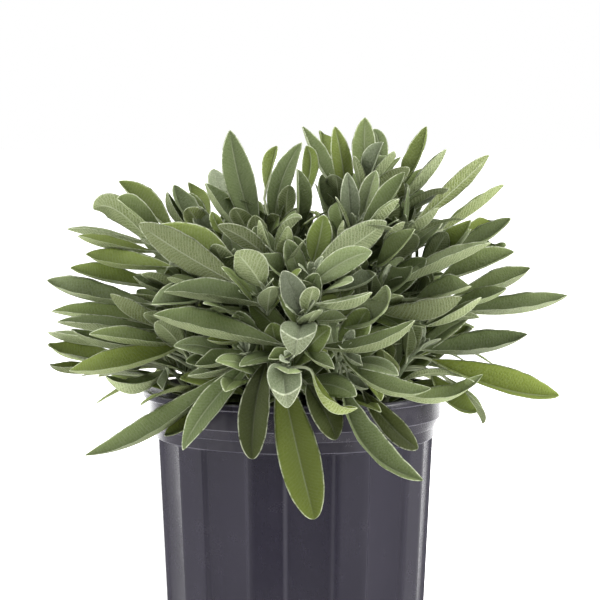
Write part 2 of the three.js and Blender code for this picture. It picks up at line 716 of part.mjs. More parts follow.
// A leaf of a pair by rule: angle and lean are in degrees, round the stem and up from it.
function ruleLeaf(curve, plan, bend) {
  const ahead = curve.getTangent(plan.at);
  const base = curve.getPoint(plan.at);
  const out = new THREE.Vector3(base.x, base.y, 0).normalize();
  const first = out.clone().addScaledVector(ahead, -out.dot(ahead)).normalize();
  const second = new THREE.Vector3().crossVectors(ahead, first);
  const angle = plan.angle + THREE.MathUtils.degToRad(bend[0]);
  const lean = THREE.MathUtils.degToRad(plan.lean + bend[1]);
  const radial = first.multiplyScalar(Math.cos(angle)).addScaledVector(second, Math.sin(angle));
  const along = radial.clone().multiplyScalar(Math.cos(lean)).addScaledVector(ahead, Math.sin(lean));
  const outward = 0.5 + 0.5 * along.dot(out);
  const length = plan.length * THREE.MathUtils.lerp(INWARD_LENGTH, 1, outward);
  const heel = base.clone().addScaledVector(along, STALK_SHARE * length);
  const tip = heel.clone().addScaledVector(along, length);
  tip.z -= DROOP * length * Math.cos(lean);
  const middle = new THREE.Vector3().lerpVectors(heel, tip, 0.5);
  middle.z += BOW * length * Math.cos(lean);
  const normal = ahead.multiplyScalar(Math.cos(lean)).addScaledVector(radial, -Math.sin(lean));
  return { tip, middle, heel, root: base, width: plan.width, fold: FLAT_FOLD, flat: true, normal };
}

// The rule's leaves for a stem: pairs, each turned a quarter from the one above it.
function planPairs(pairs, dice, start) {
  const plans = [];
  pairs.forEach((pair, i) => {
    for (const half of [0, Math.PI]) {
      const spread = () => dice() - 0.5;
      const age = i / Math.max(1, pairs.length - 1);
      plans.push({
        at: pair.at + PLACE_SPREAD * spread(),
        angle: start + i * PAIR_TURN + half + THREE.MathUtils.degToRad(ANGLE_SPREAD_DEG) * spread(),
        lean: THREE.MathUtils.lerp(YOUNG_LEAN_DEG, OLD_LEAN_DEG, age) + LEAN_SPREAD_DEG * spread(),
        length: pair.length * (1 + SIZE_SPREAD * spread()),
        width: pair.width * (1 + SIZE_SPREAD * spread()),
      });
    }
  });
  return plans;
}

function inDome(point) {
  const x = point.x / DOME.across;
  const y = point.y / DOME.deep;
  const z = (point.z - POT_HEIGHT - DOME.middle) / DOME.high;
  return x * x + y * y + z * z < 1;
}

// Keeps what stands already, and says whether a new solid is clear of it.
class Crowd {
  constructor() {
    this.members = [];
  }
  boxOf(rings) {
    return new THREE.Box3().setFromPoints(rings.flat());
  }
  add(solid, box, owner, isBlade) {
    this.members.push({ solid, box, owner, isBlade });
  }
  clearOf(solid, box, owner, ownBlades) {
    return this.members.every((m) => {
      if ((m.owner === owner) !== ownBlades || (ownBlades && !m.isBlade)) return true;
      if (!m.box.intersectsBox(box)) return true;
      const common = solid.intersect(m.solid);
      const empty = common.isEmpty();
      common.delete();
      return empty;
    });
  }
}

function standsClear(crowd, leaf, owner) {
  const whole = makeLeaf(leaf, LEAF_GAP);
  const clear = crowd.clearOf(whole, crowd.boxOf(leafRings(leaf, LEAF_GAP, 0)), owner, false);
  whole.delete();
  if (!clear) return false;
  const outer = makeLeaf(leaf, 0, CLEAR_FROM);
  const apart = crowd.clearOf(outer, crowd.boxOf(leafRings(leaf, 0, CLEAR_FROM)), owner, true);
  outer.delete();
  return apart;
}

// Gives a shoot the first bend of a leaf that stands clear, or leaves that leaf out.
function growLeaf(crowd, shoot, bends, shape, fits) {
  for (const bend of bends) {
    const leaf = shape(bend);
    if (!fits(leaf) || !standsClear(crowd, leaf, shoot.name)) continue;
    const solid = makeLeaf(leaf);
    const bladeBox = crowd.boxOf(leafRings(leaf, 0, CLEAR_FROM));
    crowd.add(solid, crowd.boxOf(leafRings(leaf, 0, 0)), shoot.name, false);
    crowd.add(makeLeaf(leaf, 0, CLEAR_FROM), bladeBox, shoot.name, true);
    shoot.leaves.push(solid);
    return;
  }
  shoot.leftOut += 1;
}

function backShoots(dice) {
  const shoots = [];
  for (const ring of BACK_RINGS) {
    ring.bearings.forEach((bearing, i) => {
      const angle = THREE.MathUtils.degToRad(bearing + BEARING_SPREAD * (dice() - 0.5));
      const tip = new THREE.Vector3(
        ring.radius * Math.cos(angle),
        ring.radius * Math.sin(angle),
        POT_HEIGHT + ring.up * (1 + HEIGHT_SPREAD * (dice() - 0.5)),
      );
      const foot = tip.clone().multiplyScalar(BACK_FOOT_SHARE);
      shoots.push({ name: `shoot_back_${ring.label}_${i + 1}`, curve: stemCurve(foot, tip) });
    });
  }
  return shoots;
}

function frontShoots() {
  return Object.entries(FRONT_SHOOTS).map(([name, plan]) => {
    const foot = new THREE.Vector3(plan.foot[0], -plan.foot[1], 0);
    return { name, curve: stemCurve(foot, seen(plan.tip)), rows: plan.leaves };
  });
}

function growShoots(pot, soil) {
  const dice = makeDice(SEED);
  const shoots = [...frontShoots(), ...backShoots(dice)];
  const crowd = new Crowd();
  const reach = new THREE.Box3(
    new THREE.Vector3(-LIP_RADIUS, -LIP_RADIUS, 0),
    new THREE.Vector3(LIP_RADIUS, LIP_RADIUS, POT_HEIGHT),
  );
  crowd.add(pot, reach, "pot", false);
  crowd.add(soil, reach, "soil", false);
  for (const shoot of shoots) {
    const rings = stemRings(shoot.curve);
    shoot.stem = toSolid(loft(rings));
    shoot.leaves = [];
    shoot.leftOut = 0;
    crowd.add(shoot.stem, crowd.boxOf(rings), shoot.name, false);
  }
  for (const shoot of shoots.filter((s) => s.rows)) {
    for (const row of shoot.rows) {
      const shape = (bend) => placedLeaf(row, shoot.curve, bend);
      growLeaf(crowd, shoot, PLACED_BENDS, shape, () => true);
    }
  }
  for (const shoot of shoots) {
    const pairs = shoot.rows ? INNER_PAIRS : BACK_PAIRS;
    for (const plan of planPairs(pairs, dice, 2 * Math.PI * dice())) {
      const shape = (bend) => ruleLeaf(shoot.curve, plan, bend);
      growLeaf(crowd, shoot, RULE_BENDS, shape, (leaf) => inDome(leaf.tip));
    }
  }
  return shoots;
}

// Finishes.
const POT_PLASTIC = { color: 0x3b3a41, roughness: 0.42, metalness: 0 };
const SOIL_MIX = { color: 0x2a211a, roughness: 0.95, metalness: 0 };
const SAGE_LEAF = { color: 0x6f8258, roughness: 0.75, metalness: 0 };

function makeMesh(name, solid, finish) {
  const mesh = new THREE.Mesh(toGeometry(solid), new THREE.MeshStandardMaterial(finish));
  mesh.name = name;
  return mesh;
}

const group = new THREE.Group();
const pot = makePot();
const soil = makeSoil();
const shoots = growShoots(pot, soil);
const pierced = shoots.reduce((solid, shoot) => solid.subtract(makeHole(shoot.curve)), soil);
group.add(makeMesh("pot", pot, POT_PLASTIC), makeMesh("soil", pierced, SOIL_MIX));
for (const shoot of shoots) {
  const solid = shoot.leaves.reduce((whole, leaf) => whole.add(leaf), shoot.stem);
  const mesh = makeMesh(shoot.name, solid, SAGE_LEAF);
  mesh.userData = { leaves: shoot.leaves.length, leftOut: shoot.leftOut };
  group.add(mesh);
}

export default group;
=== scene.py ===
"""A common sage in a ribbed nursery pot, dressed for its picture.

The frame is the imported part's own: metres, +Z up, the front at -Y. Sizes are written in millimetres and
scaled by MM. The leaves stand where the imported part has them.
"""

import logging
import math
from collections.abc import Callable, Iterable, Sequence
from dataclasses import dataclass, field
from enum import Enum

import bpy
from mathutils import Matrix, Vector, noise
from mathutils.kdtree import KDTree


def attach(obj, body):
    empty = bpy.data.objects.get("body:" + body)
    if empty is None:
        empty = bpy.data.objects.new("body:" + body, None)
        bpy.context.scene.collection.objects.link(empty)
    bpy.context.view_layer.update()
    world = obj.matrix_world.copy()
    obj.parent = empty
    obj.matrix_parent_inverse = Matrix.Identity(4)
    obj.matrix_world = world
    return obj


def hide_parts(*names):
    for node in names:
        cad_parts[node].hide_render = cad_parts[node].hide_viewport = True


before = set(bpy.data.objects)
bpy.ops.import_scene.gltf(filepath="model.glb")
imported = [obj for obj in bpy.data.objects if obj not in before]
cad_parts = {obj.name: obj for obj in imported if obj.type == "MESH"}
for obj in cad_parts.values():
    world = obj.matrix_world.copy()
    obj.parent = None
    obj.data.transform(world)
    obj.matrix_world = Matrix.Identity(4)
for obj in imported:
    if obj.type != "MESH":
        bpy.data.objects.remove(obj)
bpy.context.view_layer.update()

BODY = "root"
MM = 0.001
UV_PER_METRE = 10.0
MM_PER_UV = 1 / (UV_PER_METRE * MM)

# The numbers of a Mix node's low and high inputs and of its output, by the kind of value.
MIX_SOCKETS = {"FLOAT": (2, 3, 0), "VECTOR": (4, 5, 1), "RGBA": (6, 7, 2)}

Pair = tuple[float, float]
Triple = tuple[float, float, float]
log = logging.getLogger("potted sage")


class Term:
    """A value in a node tree. Arithmetic on terms adds the nodes that work it out."""

    def __init__(self, graph: "Graph", socket: bpy.types.NodeSocket) -> None:
        """Keeps the tree and the socket that gives the value."""
        self.graph = graph
        self.socket = socket

    def __add__(self, other: "Value") -> "Term":
        """This value plus the other."""
        return self.graph.join("ADD", self, other)

    def __sub__(self, other: "Value") -> "Term":
        """This value less the other."""
        return self.graph.join("SUBTRACT", self, other)

    def __rsub__(self, other: "Value") -> "Term":
        """The other value less this one."""
        return self.graph.join("SUBTRACT", other, self)

    def __mul__(self, other: "Value") -> "Term":
        """This value times the other."""
        return self.graph.join("MULTIPLY", self, other)

    def __truediv__(self, other: "Value") -> "Term":
        """This value divided by the other."""
        return self.graph.join("DIVIDE", self, other)

    __radd__ = __add__
    __rmul__ = __mul__


Value = Term | float | Triple


def is_vector(value: Value) -> bool:
    """Says whether a value has three parts."""
    if isinstance(value, Term):
        return value.socket.type in {"VECTOR", "RGBA"}
    return isinstance(value, tuple)


class Graph:
    """Writes formulas as nodes, in a geometry tree, a material's tree or a shader node group."""

    def __init__(self, tree: bpy.types.NodeTree) -> None:
        """Works on one tree."""
        self.tree = tree

    def node(self, kind: str, **settings: object) -> bpy.types.Node:
        """Adds a node and sets its options.

        Args:
            kind: the node's type name.
            settings: the node's own properties, by name.

        Returns:
            The new node.
        """
        made = self.tree.nodes.new(kind)
        for name, value in settings.items():
            setattr(made, name, value)
        return made

    def feed(self, socket: bpy.types.NodeSocket, value: object) -> None:
        """Links a term to an input, or sets the input to a plain value.

        Args:
            socket: the input.
            value: a term, or what the input itself takes.
        """
        if isinstance(value, Term):
            self.tree.links.new(value.socket, socket)
        elif socket.type == "VECTOR" and isinstance(value, (int, float)):
            socket.default_value = (value, value, value)
        elif socket.type == "RGBA" and len(value) == 3:
            socket.default_value = (*value, 1.0)
        else:
            socket.default_value = value

    def made(
        self, kind: str, inputs: dict[str | int, object], output: str | int = 0, **settings: object
    ) -> Term:
        """Adds a node, feeds its inputs and gives one of its outputs.

        Args:
            kind: the node's type name.
            inputs: values by the input's name or number.
            output: the name or number of the output.
            settings: the node's own properties.

        Returns:
            The output as a term.
        """
        node = self.node(kind, **settings)
        for name, value in inputs.items():
            self.feed(node.inputs[name], value)
        return Term(self, node.outputs[output])

    def math(self, operation: str, *values: Value) -> Term:
        """A sum or function of plain numbers."""
        return self.made("ShaderNodeMath", dict(enumerate(values)), operation=operation)

    def vector(self, operation: str, *values: Value, output: str = "Vector") -> Term:
        """A sum or function of vectors."""
        return self.made("ShaderNodeVectorMath", dict(enumerate(values)), output, operation=operation)

    def join(self, operation: str, first: Value, second: Value) -> Term:
        """One of the four sums, of numbers or of vectors.

        Args:
            operation: ADD, SUBTRACT, MULTIPLY or DIVIDE.
            first: the left value.
            second: the right value.

        Returns:
            The result as a term.
        """
        vectors = (is_vector(first), is_vector(second))
        if not any(vectors):
            return self.math(operation, first, second)
        if operation == "MULTIPLY" and not all(vectors):
            long, by = (first, second) if vectors[0] else (second, first)
            return self.made("ShaderNodeVectorMath", {"Vector": long, "Scale": by}, operation="SCALE")
        return self.vector(operation, first, second)

    def dot(self, first: Value, second: Value) -> Term:
        """The dot product."""
        return self.vector("DOT_PRODUCT", first, second, output="Value")

    def distance(self, first: Value, second: Value) -> Term:
        """How far two points are apart."""
        return self.vector("DISTANCE", first, second, output="Value")

    def unit(self, value: Value) -> Term:
        """The vector at length 1."""
        return self.vector("NORMALIZE", value)

    def mix(self, kind: str, share: Value, low: Value, high: Value, **settings: object) -> Term:
        """Two values of a kind mixed by a share from 0 to 1.

        Args:
            kind: FLOAT, VECTOR or RGBA.
            share: how much of the high value there is.
            low: the value at 0.
            high: the value at 1.
            settings: the node's other properties.

        Returns:
            The mix as a term.
        """
        at_low, at_high, output = MIX_SOCKETS[kind]
        inputs = {0: share, at_low: low, at_high: high}
        return self.made("ShaderNodeMix", inputs, output, data_type=kind, **settings)

    def blend(self, share: Value, low: Value, high: Value) -> Term:
        """A value between two others, numbers or vectors, by a share from 0 to 1."""
        return self.mix("VECTOR" if is_vector(low) or is_vector(high) else "FLOAT", share, low, high)

    def tint(self, share: Value, low: Value, high: Value) -> Term:
        """A colour between two others, by a share from 0 to 1."""
        return self.mix("RGBA", share, low, high)

    def step(self, value: Value, low: float, high: float) -> Term:
        """0 up to low, 1 from high on and smooth between; the other way round where low is above high."""
        inputs = {"Value": value, "From Min": low, "From Max": high}
        return self.made("ShaderNodeMapRange", inputs, interpolation_type="SMOOTHSTEP")

    def parts(self, value: Value) -> tuple[Term, Term, Term]:
        """The three parts of a vector."""
        node = self.node("ShaderNodeSeparateXYZ")
        self.feed(node.inputs[0], value)
        return tuple(Term(self, socket) for socket in node.outputs[:3])

    def whole(self, x: Value, y: Value, z: Value) -> Term:
        """A vector of three numbers."""
        return self.made("ShaderNodeCombineXYZ", {0: x, 1: y, 2: z})

    def clouds(self, place: Value, scale: Value, detail: float = 2.0) -> Term:
        """Smooth noise about 0.5, with so many bumps to a unit of length."""
        return self.made("ShaderNodeTexNoise", {"Vector": place, "Scale": scale, "Detail": detail})

    def cells(self, place: Value, scale: Value, feature: str = "F1") -> Term:
        """The distance into the cells of a random net, which has so many cells to a unit of length."""
        inputs = {"Vector": place, "Scale": scale}
        return self.made("ShaderNodeTexVoronoi", inputs, "Distance", feature=feature)

    def place(self) -> Term:
        """The place on the object, in metres, or in the surround the direction."""
        return self.made("ShaderNodeTexCoord", {}, "Object")

    def ray(self, kind: str) -> Term:
        """1 for light paths of a kind, such as Is Camera Ray, and 0 for others."""
        return self.made("ShaderNodeLightPath", {}, kind)


class GrowthGraph(Graph):
    """A geometry tree, with named attributes."""

    def attribute(self, name: str, kind: str = "FLOAT") -> Term:
        """The value of a named attribute."""
        return self.made("GeometryNodeInputNamedAttribute", {"Name": name}, "Attribute", data_type=kind)

    def stored(
        self, shape: Term, name: str, value: Value, kind: str = "FLOAT", domain: str = "POINT"
    ) -> Term:
        """The shape with a named attribute written on it."""
        inputs = {"Geometry": shape, "Name": name, "Value": value}
        return self.made("GeometryNodeStoreNamedAttribute", inputs, data_type=kind, domain=domain)

    def coated(self, shape: Term, finish: Term) -> Term:
        """The shape, shaded smooth, in one material."""
        smooth = self.made("GeometryNodeSetShadeSmooth", {"Geometry": shape, "Shade Smooth": True})
        return self.made("GeometryNodeSetMaterial", {"Geometry": smooth, "Material": finish})


@dataclass(frozen=True)
class Port:
    """A named input of a tree or group."""

    name: str
    kind: str
    value: object = None


def open_tree(
    tree: bpy.types.NodeTree, ports: Sequence[Port], outputs: Sequence[Port]
) -> dict[str, bpy.types.NodeSocket]:
    """Gives a tree its inputs and outputs.

    Args:
        tree: the tree.
        ports: its inputs, with the value that each has unless it is set.
        outputs: its outputs.

    Returns:
        The sockets inside the tree that give the inputs, by name.
    """
    for port in ports:
        socket = tree.interface.new_socket(name=port.name, in_out="INPUT", socket_type=port.kind)
        if port.value is not None:
            socket.default_value = port.value
    for port in outputs:
        tree.interface.new_socket(name=port.name, in_out="OUTPUT", socket_type=port.kind)
    inside = tree.nodes.new("NodeGroupInput")
    return {socket.name: socket for socket in inside.outputs if socket.name}


def link_object(name: str, mesh: bpy.types.Mesh) -> bpy.types.Object:
    """An object for a mesh, in the scene."""
    piece = bpy.data.objects.new(name, mesh)
    bpy.context.scene.collection.objects.link(piece)
    return piece


def mesh_of(
    name: str,
    points: Iterable[Sequence[float]],
    faces: Iterable[Sequence[int]],
    edges: Iterable[Sequence[int]] = (),
) -> bpy.types.Mesh:
    """A mesh, shaded smooth.

    Args:
        name: its name.
        points: its corners, in metres.
        faces: the corners' numbers, face by face.
        edges: the corners' numbers, for edges that no face has.

    Returns:
        The mesh.
    """
    mesh = bpy.data.meshes.new(name)
    mesh.from_pydata([tuple(p) for p in points], list(edges), list(faces))
    for polygon in mesh.polygons:
        polygon.use_smooth = True
    mesh.update()
    return mesh


def ring_faces(sides: int, rings: int, turned: bool = False) -> list[tuple[int, ...]]:
    """The faces of a closed form that has one point at its start, rings of points, and one at its end.

    Args:
        sides: points in a ring.
        rings: how many rings there are.
        turned: whether the faces look the other way.

    Returns:
        The corners' numbers, face by face.
    """
    last = 1 + rings * sides
    steps = [(k, (k + 1) % sides) for k in range(sides)]
    faces = [(0, 1 + following, 1 + k) for k, following in steps]
    for start in range(1, last - sides, sides):
        above = start + sides
        faces += [(start + k, start + following, above + following, above + k) for k, following in steps]
    start = last - sides
    faces += [(start + k, start + following, last) for k, following in steps]
    return [(face[0], *reversed(face[1:])) for face in faces] if turned else faces


def grow(piece: bpy.types.Object, tree: bpy.types.NodeTree, settings: dict[str, object]) -> None:
    """Grows a geometry tree on an object and keeps the result as its plain mesh.

    Args:
        piece: the object that has the guide mesh.
        tree: the geometry tree.
        settings: values of the tree's inputs, by name.
    """
    modifier = piece.modifiers.new(tree.name, "NODES")
    modifier.node_group = tree
    for item in tree.interface.items_tree:
        if item.item_type == "SOCKET" and item.in_out == "INPUT" and item.name in settings:
            modifier[item.identifier] = settings[item.name]
    evaluated_by = bpy.context.evaluated_depsgraph_get()
    evaluated = piece.evaluated_get(evaluated_by)
    grown = bpy.data.meshes.new_from_object(evaluated, preserve_all_data_layers=True, depsgraph=evaluated_by)
    piece.modifiers.remove(modifier)
    guide = piece.data
    grown.name = piece.name
    piece.data = grown
    bpy.data.meshes.remove(guide)


def declare(piece: bpy.types.Object, slot: str, *nodes: str) -> None:
    """Lets a finished piece ride on the plant's body.

    Args:
        piece: the piece.
        slot: a name for its material's slot; not used.
        nodes: the CAD nodes that it takes the place of.
    """
    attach(piece, BODY)
    if nodes:
        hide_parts(*nodes)
    replaced = ", ".join(nodes) or "nothing"
    log.info("%s: %d faces, in place of %s", piece.name, len(piece.data.polygons), replaced)


class Dice:
    """Draws from 0 to 1 that are the same on every run."""

    TIMES = 1664525
    PLUS = 1013904223
    SPAN = 4294967296

    def __init__(self, seed: int) -> None:
        """Starts from a seed."""
        self.state = seed

    def draw(self) -> float:
        """The next draw."""
        self.state = (self.TIMES * self.state + self.PLUS) % self.SPAN
        return self.state / self.SPAN

    def spread(self, width: float) -> float:
        """A draw about 0 in a span of this width."""
        return width * (self.draw() - 0.5)


# Finishes.


def open_effect(name: str, size: str, usual: float, *outputs: str) -> tuple[Graph, Term, Term]:
    """Starts a shader node group that reads a place and how fine its pattern is.

    Args:
        name: the group's name.
        size: the name of the input that says how many bumps or cells there are to a unit of length.
        usual: that input's value unless it is set.
        outputs: the names of the numbers that the group gives.

    Returns:
        The group's graph, and the two inputs.
    """
    tree = bpy.data.node_groups.new(name, "ShaderNodeTree")
    ports = [Port("Place", "NodeSocketVector"), Port(size, "NodeSocketFloat", usual)]
    inputs = open_tree(tree, ports, [Port(output, "NodeSocketFloat") for output in outputs])
    graph = Graph(tree)
    return graph, Term(graph, inputs["Place"]), Term(graph, inputs[size])


def close_effect(graph: Graph, **outputs: Term) -> bpy.types.NodeTree:
    """Feeds the outputs of a group, by name, and gives the group."""
    out = graph.node("NodeGroupOutput")
    for name, value in outputs.items():
        graph.feed(out.inputs[name], value)
    return graph.tree


def mottle_group() -> bpy.types.NodeTree:
    """A shader node group that gives uneven patches, large and small, as a mask from 0 to 1."""
    graph, place, patches = open_effect("Mottle", "Patches", 100.0, "Mask")
    large = graph.clouds(place, patches, 3.0)
    small = graph.clouds(place, patches * 5.0, 2.0)
    return close_effect(graph, Mask=graph.step(large * 0.65 + small * 0.35, 0.32, 0.68))


def fuzz_group() -> bpy.types.NodeTree:
    """A shader node group that gives the fine felt of a sage plant, as a height and as a mask."""
    graph, place, hairs = open_effect("Fuzz", "Hairs", 3000.0, "Height", "Mask")
    height = graph.clouds(place, hairs, 1.0)
    mask = graph.step(graph.clouds(place, hairs * 0.4, 1.0), 0.4, 0.7)
    return close_effect(graph, Height=height, Mask=mask)


def grain_group() -> bpy.types.NodeTree:
    """A shader node group that gives the fine grain of moulded plastic or of a crumb, as a height."""
    graph, place, grains = open_effect("Grain", "Grains", 1000.0, "Height")
    height = graph.cells(place, grains) * 0.5 + graph.clouds(place, grains * 1.7, 2.0) * 0.5
    return close_effect(graph, Height=height)


@dataclass
class Effects:
    """The shader node groups that the finishes share."""

    mottle: bpy.types.NodeTree = field(default_factory=mottle_group)
    fuzz: bpy.types.NodeTree = field(default_factory=fuzz_group)
    grain: bpy.types.NodeTree = field(default_factory=grain_group)


class Paint(Graph):
    """A material's tree."""

    def __init__(self, name: str) -> None:
        """Starts a material of this name."""
        self.material = bpy.data.materials.new(name)
        self.material.use_nodes = True
        super().__init__(self.material.node_tree)
        self.skin = self.tree.nodes["Principled BSDF"]

    def attribute(self, name: str) -> Term:
        """The value of a named attribute of the mesh."""
        return self.made("ShaderNodeAttribute", {}, "Fac", attribute_name=name)

    def effect(self, tree: bpy.types.NodeTree, output: str, **inputs: Value) -> Term:
        """One output of a shared effect."""
        return self.made("ShaderNodeGroup", inputs, output, node_tree=tree)

    def bump(self, height: Value, distance: float, strength: float = 1.0) -> None:
        """Gives the surface a relief: height from 0 to 1, over a distance in metres."""
        inputs = {"Height": height, "Distance": distance, "Strength": strength}
        self.feed(self.skin.inputs["Normal"], self.made("ShaderNodeBump", inputs))

    def coat(self, **inputs: object) -> bpy.types.Material:
        """Feeds the surface's inputs, named with _ for a space, and gives the material."""
        for name, value in inputs.items():
            self.feed(self.skin.inputs[name.replace("_", " ")], value)
        return self.material


@dataclass(frozen=True)
class LeafFinish:
    """Felted sage blade: green above, paler below, with a pale rim and a raised net of veins. Sizes in mm."""

    cool: Triple = (0.066, 0.100, 0.029)
    warm: Triple = (0.127, 0.168, 0.010)
    cool_under: Triple = (0.132, 0.164, 0.072)
    warm_under: Triple = (0.172, 0.212, 0.044)
    felt: Triple = (0.270, 0.295, 0.215)
    vein: Triple = (0.420, 0.460, 0.290)
    rim: Triple = (0.640, 0.680, 0.500)
    vein_gap: float = 2.0
    vein_slope: float = 0.95
    vein_bend: float = 0.035
    vein_wobble: float = 1.6
    vein_crest: Pair = (0.58, 0.94)
    midrib_half: Pair = (0.60, 0.20)
    net_size: float = 1.2
    net_line: Pair = (0.20, 0.03)
    rim_reach: Pair = (0.80, 0.35)
    lip_reach: Pair = (0.62, 0.22)
    rim_breaks: Pair = (0.28, 0.58)
    cup_bow: float = 0.12
    patches: float = 0.09
    felt_hairs: float = 3.0
    relief_hairs: float = 6.0
    relief: float = 0.36

    def material(self, effects: Effects) -> bpy.types.Material:
        """The material, which reads the leaf's own map in millimetres and its tone.

        Args:
            effects: the shared effects.

        Returns:
            The material.
        """
        paint = Paint("sage_blade")
        uv = paint.made("ShaderNodeUVMap", {}, "UV", uv_map="UVMap")
        along, across, _ = paint.parts(uv * MM_PER_UV)
        names = ("seed", "face", "blade_at", "edge_gap", "cup", "felt", "warmth", "light")
        seed, face, share, edge, cup, felt, warmth, light = (paint.attribute(name) for name in names)
        spot = paint.whole(along, across, seed * 40.0)
        off = paint.math("ABSOLUTE", across)
        out = off / (off + edge + 0.01)

        # Side veins that slope toward the tip and alternate, the midrib, and the net between the veins.
        wobble = paint.clouds(spot, 0.35, 1.0) - 0.5
        odd = paint.math("GREATER_THAN", across, 0.0) * 0.5
        run = along - off * self.vein_slope + off * off * self.vein_bend + wobble * self.vein_wobble
        beat = paint.math("FRACT", run / self.vein_gap + odd)
        side_vein = paint.step(paint.math("ABSOLUTE", beat - 0.5) * 2.0, *self.vein_crest)
        midrib = paint.step(off, *self.midrib_half) * paint.step(share, 1.0, 0.75)
        net = paint.step(paint.cells(spot, 1 / self.net_size, "DISTANCE_TO_EDGE"), *self.net_line)
        pebble = paint.cells(spot, 1 / self.net_size)
        veins = paint.math("MAXIMUM", side_vein, net * 0.6)

        # The rim, and the lip of a cupped leaf, past which its upper side is painted in its underside's
        # colours as if its tip turned up and showed its underside.
        past = share - cup + out * out * self.cup_bow
        lip = paint.math("ABSOLUTE", past) * along / (share + 0.05)
        rim = paint.math("MAXIMUM", paint.step(edge, *self.rim_reach), paint.step(lip, *self.lip_reach))
        rim = rim * paint.step(paint.clouds(spot, 0.45, 3.0), *self.rim_breaks)
        upper = paint.step(face, 0.0, 0.06) * paint.step(past, 0.01, -0.01)

        # Painted shade: darker at the midrib and at the base, and one half darker than the other, as the
        # light falls on a folded blade.
        half = paint.math("SIGN", across) * paint.math("SIGN", seed - 0.5)
        shade = (0.80 + out * 0.26) * (0.86 + share * 0.20) * (1.0 + half * 0.09)

        patches = paint.effect(effects.mottle, "Mask", Place=spot, Patches=self.patches)
        fuzz = paint.effect(effects.fuzz, "Mask", Place=spot, Hairs=self.felt_hairs)
        above = paint.tint(warmth, self.cool, self.warm)
        below = paint.tint(warmth, self.cool_under, self.warm_under)
        downy = 0.35 + paint.math("MINIMUM", felt * 3.0, 0.65)
        top = paint.tint(patches * downy * 0.22, above, below)
        top = paint.tint(paint.math("MAXIMUM", midrib * 0.35, side_vein * 0.06), top, self.vein)
        top = paint.tint((pebble * 0.16 + net * 0.10) * downy, top, self.felt)
        under = paint.tint(patches * 0.25, below, above)
        under = paint.tint(paint.math("MAXIMUM", veins * 0.50, midrib * 0.8), under, self.vein)
        colour = paint.tint(upper, under, top * shade)
        colour = paint.tint(felt * (0.55 + fuzz * 0.35), colour, self.felt)
        # Painted light and shade: multiplied by the leaf's lightness, which is partly its own tone and partly
        # set for how lit or shaded it stands; the rim follows it.
        colour = paint.mix("RGBA", 1.0, colour, light, blend_type="MULTIPLY")
        colour = paint.tint(rim * (0.34 + light * 0.30), colour, self.rim)

        # Veins stand up below, and lie between small pillows above.
        quilt = 1.0 - pebble * 0.7 - side_vein * 0.18 - midrib * 0.6
        raised = veins * 0.9 + midrib * 0.8
        hairs = paint.effect(effects.fuzz, "Height", Place=spot, Hairs=self.relief_hairs)
        paint.bump(paint.blend(upper, raised, quilt) + hairs * 0.25, self.relief * MM, 0.9)
        return paint.coat(
            Base_Color=colour,
            Roughness=0.52 + felt * 0.2 + patches * 0.08,
            Specular_IOR_Level=0.15,
            Sheen_Weight=0.05,
            Sheen_Roughness=0.45,
            Sheen_Tint=(0.80, 0.86, 0.70),
        )


@dataclass(frozen=True)
class StemFinish:
    """Felted green stem, a little browner at its foot. Heights in metres."""

    green: Triple = (0.130, 0.170, 0.070)
    brown: Triple = (0.085, 0.065, 0.032)
    felt: Triple = (0.300, 0.330, 0.240)
    browning: Pair = (0.150, 0.185)

    def material(self, effects: Effects) -> bpy.types.Material:
        """The material.

        Args:
            effects: the shared effects.

        Returns:
            The material.
        """
        paint = Paint("sage_stem")
        place = paint.place()
        height = paint.parts(place)[2]
        colour = paint.tint(paint.step(height, *self.browning), self.brown, self.green)
        patches = paint.effect(effects.mottle, "Mask", Place=place, Patches=90.0)
        fuzz = paint.effect(effects.fuzz, "Mask", Place=place, Hairs=2600.0)
        colour = paint.tint(patches * 0.25 + fuzz * 0.25, colour, self.felt)
        paint.bump(paint.effect(effects.fuzz, "Height", Place=place, Hairs=3500.0), 0.3 * MM)
        return paint.coat(Base_Color=colour, Roughness=0.75, Sheen_Weight=0.3, Sheen_Tint=(0.8, 0.86, 0.7))


@dataclass(frozen=True)
class PlasticFinish:
    """Charcoal moulded plastic, dusty on its collar, with painted highlights along its ledge corners and rib
    flanks. Heights in metres.
    """

    base: Triple = (0.0105, 0.0088, 0.0180)
    worn: Triple = (0.0148, 0.0120, 0.0240)
    dust: Triple = (0.150, 0.140, 0.130)
    rubbed: Triple = (0.130, 0.125, 0.150)
    dusty_from: Pair = (0.140, 0.147)
    dusty_to: Pair = (0.172, 0.160)

    def material(self, effects: Effects) -> bpy.types.Material:
        """The material.

        Args:
            effects: the shared effects.

        Returns:
            The material.
        """
        paint = Paint("charcoal_plastic")
        place = paint.place()
        x, y, z = paint.parts(place)
        patches = paint.effect(effects.mottle, "Mask", Place=place, Patches=28.0)
        drawn = paint.whole(x * 6.0, y * 6.0, z * 0.5)
        streaks = paint.effect(effects.mottle, "Mask", Place=drawn, Patches=30.0)
        colour = paint.tint(patches * 0.5 + streaks * 0.3, self.base, self.worn)
        ledge = paint.step(z, *self.dusty_from) * paint.step(z, *self.dusty_to)
        colour = paint.tint(ledge * patches * 0.10, colour, self.dust)
        # Painted highlight: a pale colour along the rounded ledge corners and the ribs' flanks.
        colour = paint.tint(paint.attribute("rubbed") * (0.55 + streaks * 0.35), colour, self.rubbed)
        grain = paint.effect(effects.grain, "Height", Place=place, Grains=1500.0)
        paint.bump(grain + streaks * 0.3, 0.1 * MM, 0.6)
        return paint.coat(
            Base_Color=colour,
            Roughness=0.19 + patches * 0.07 + grain * 0.04,
            Specular_IOR_Level=0.50,
        )


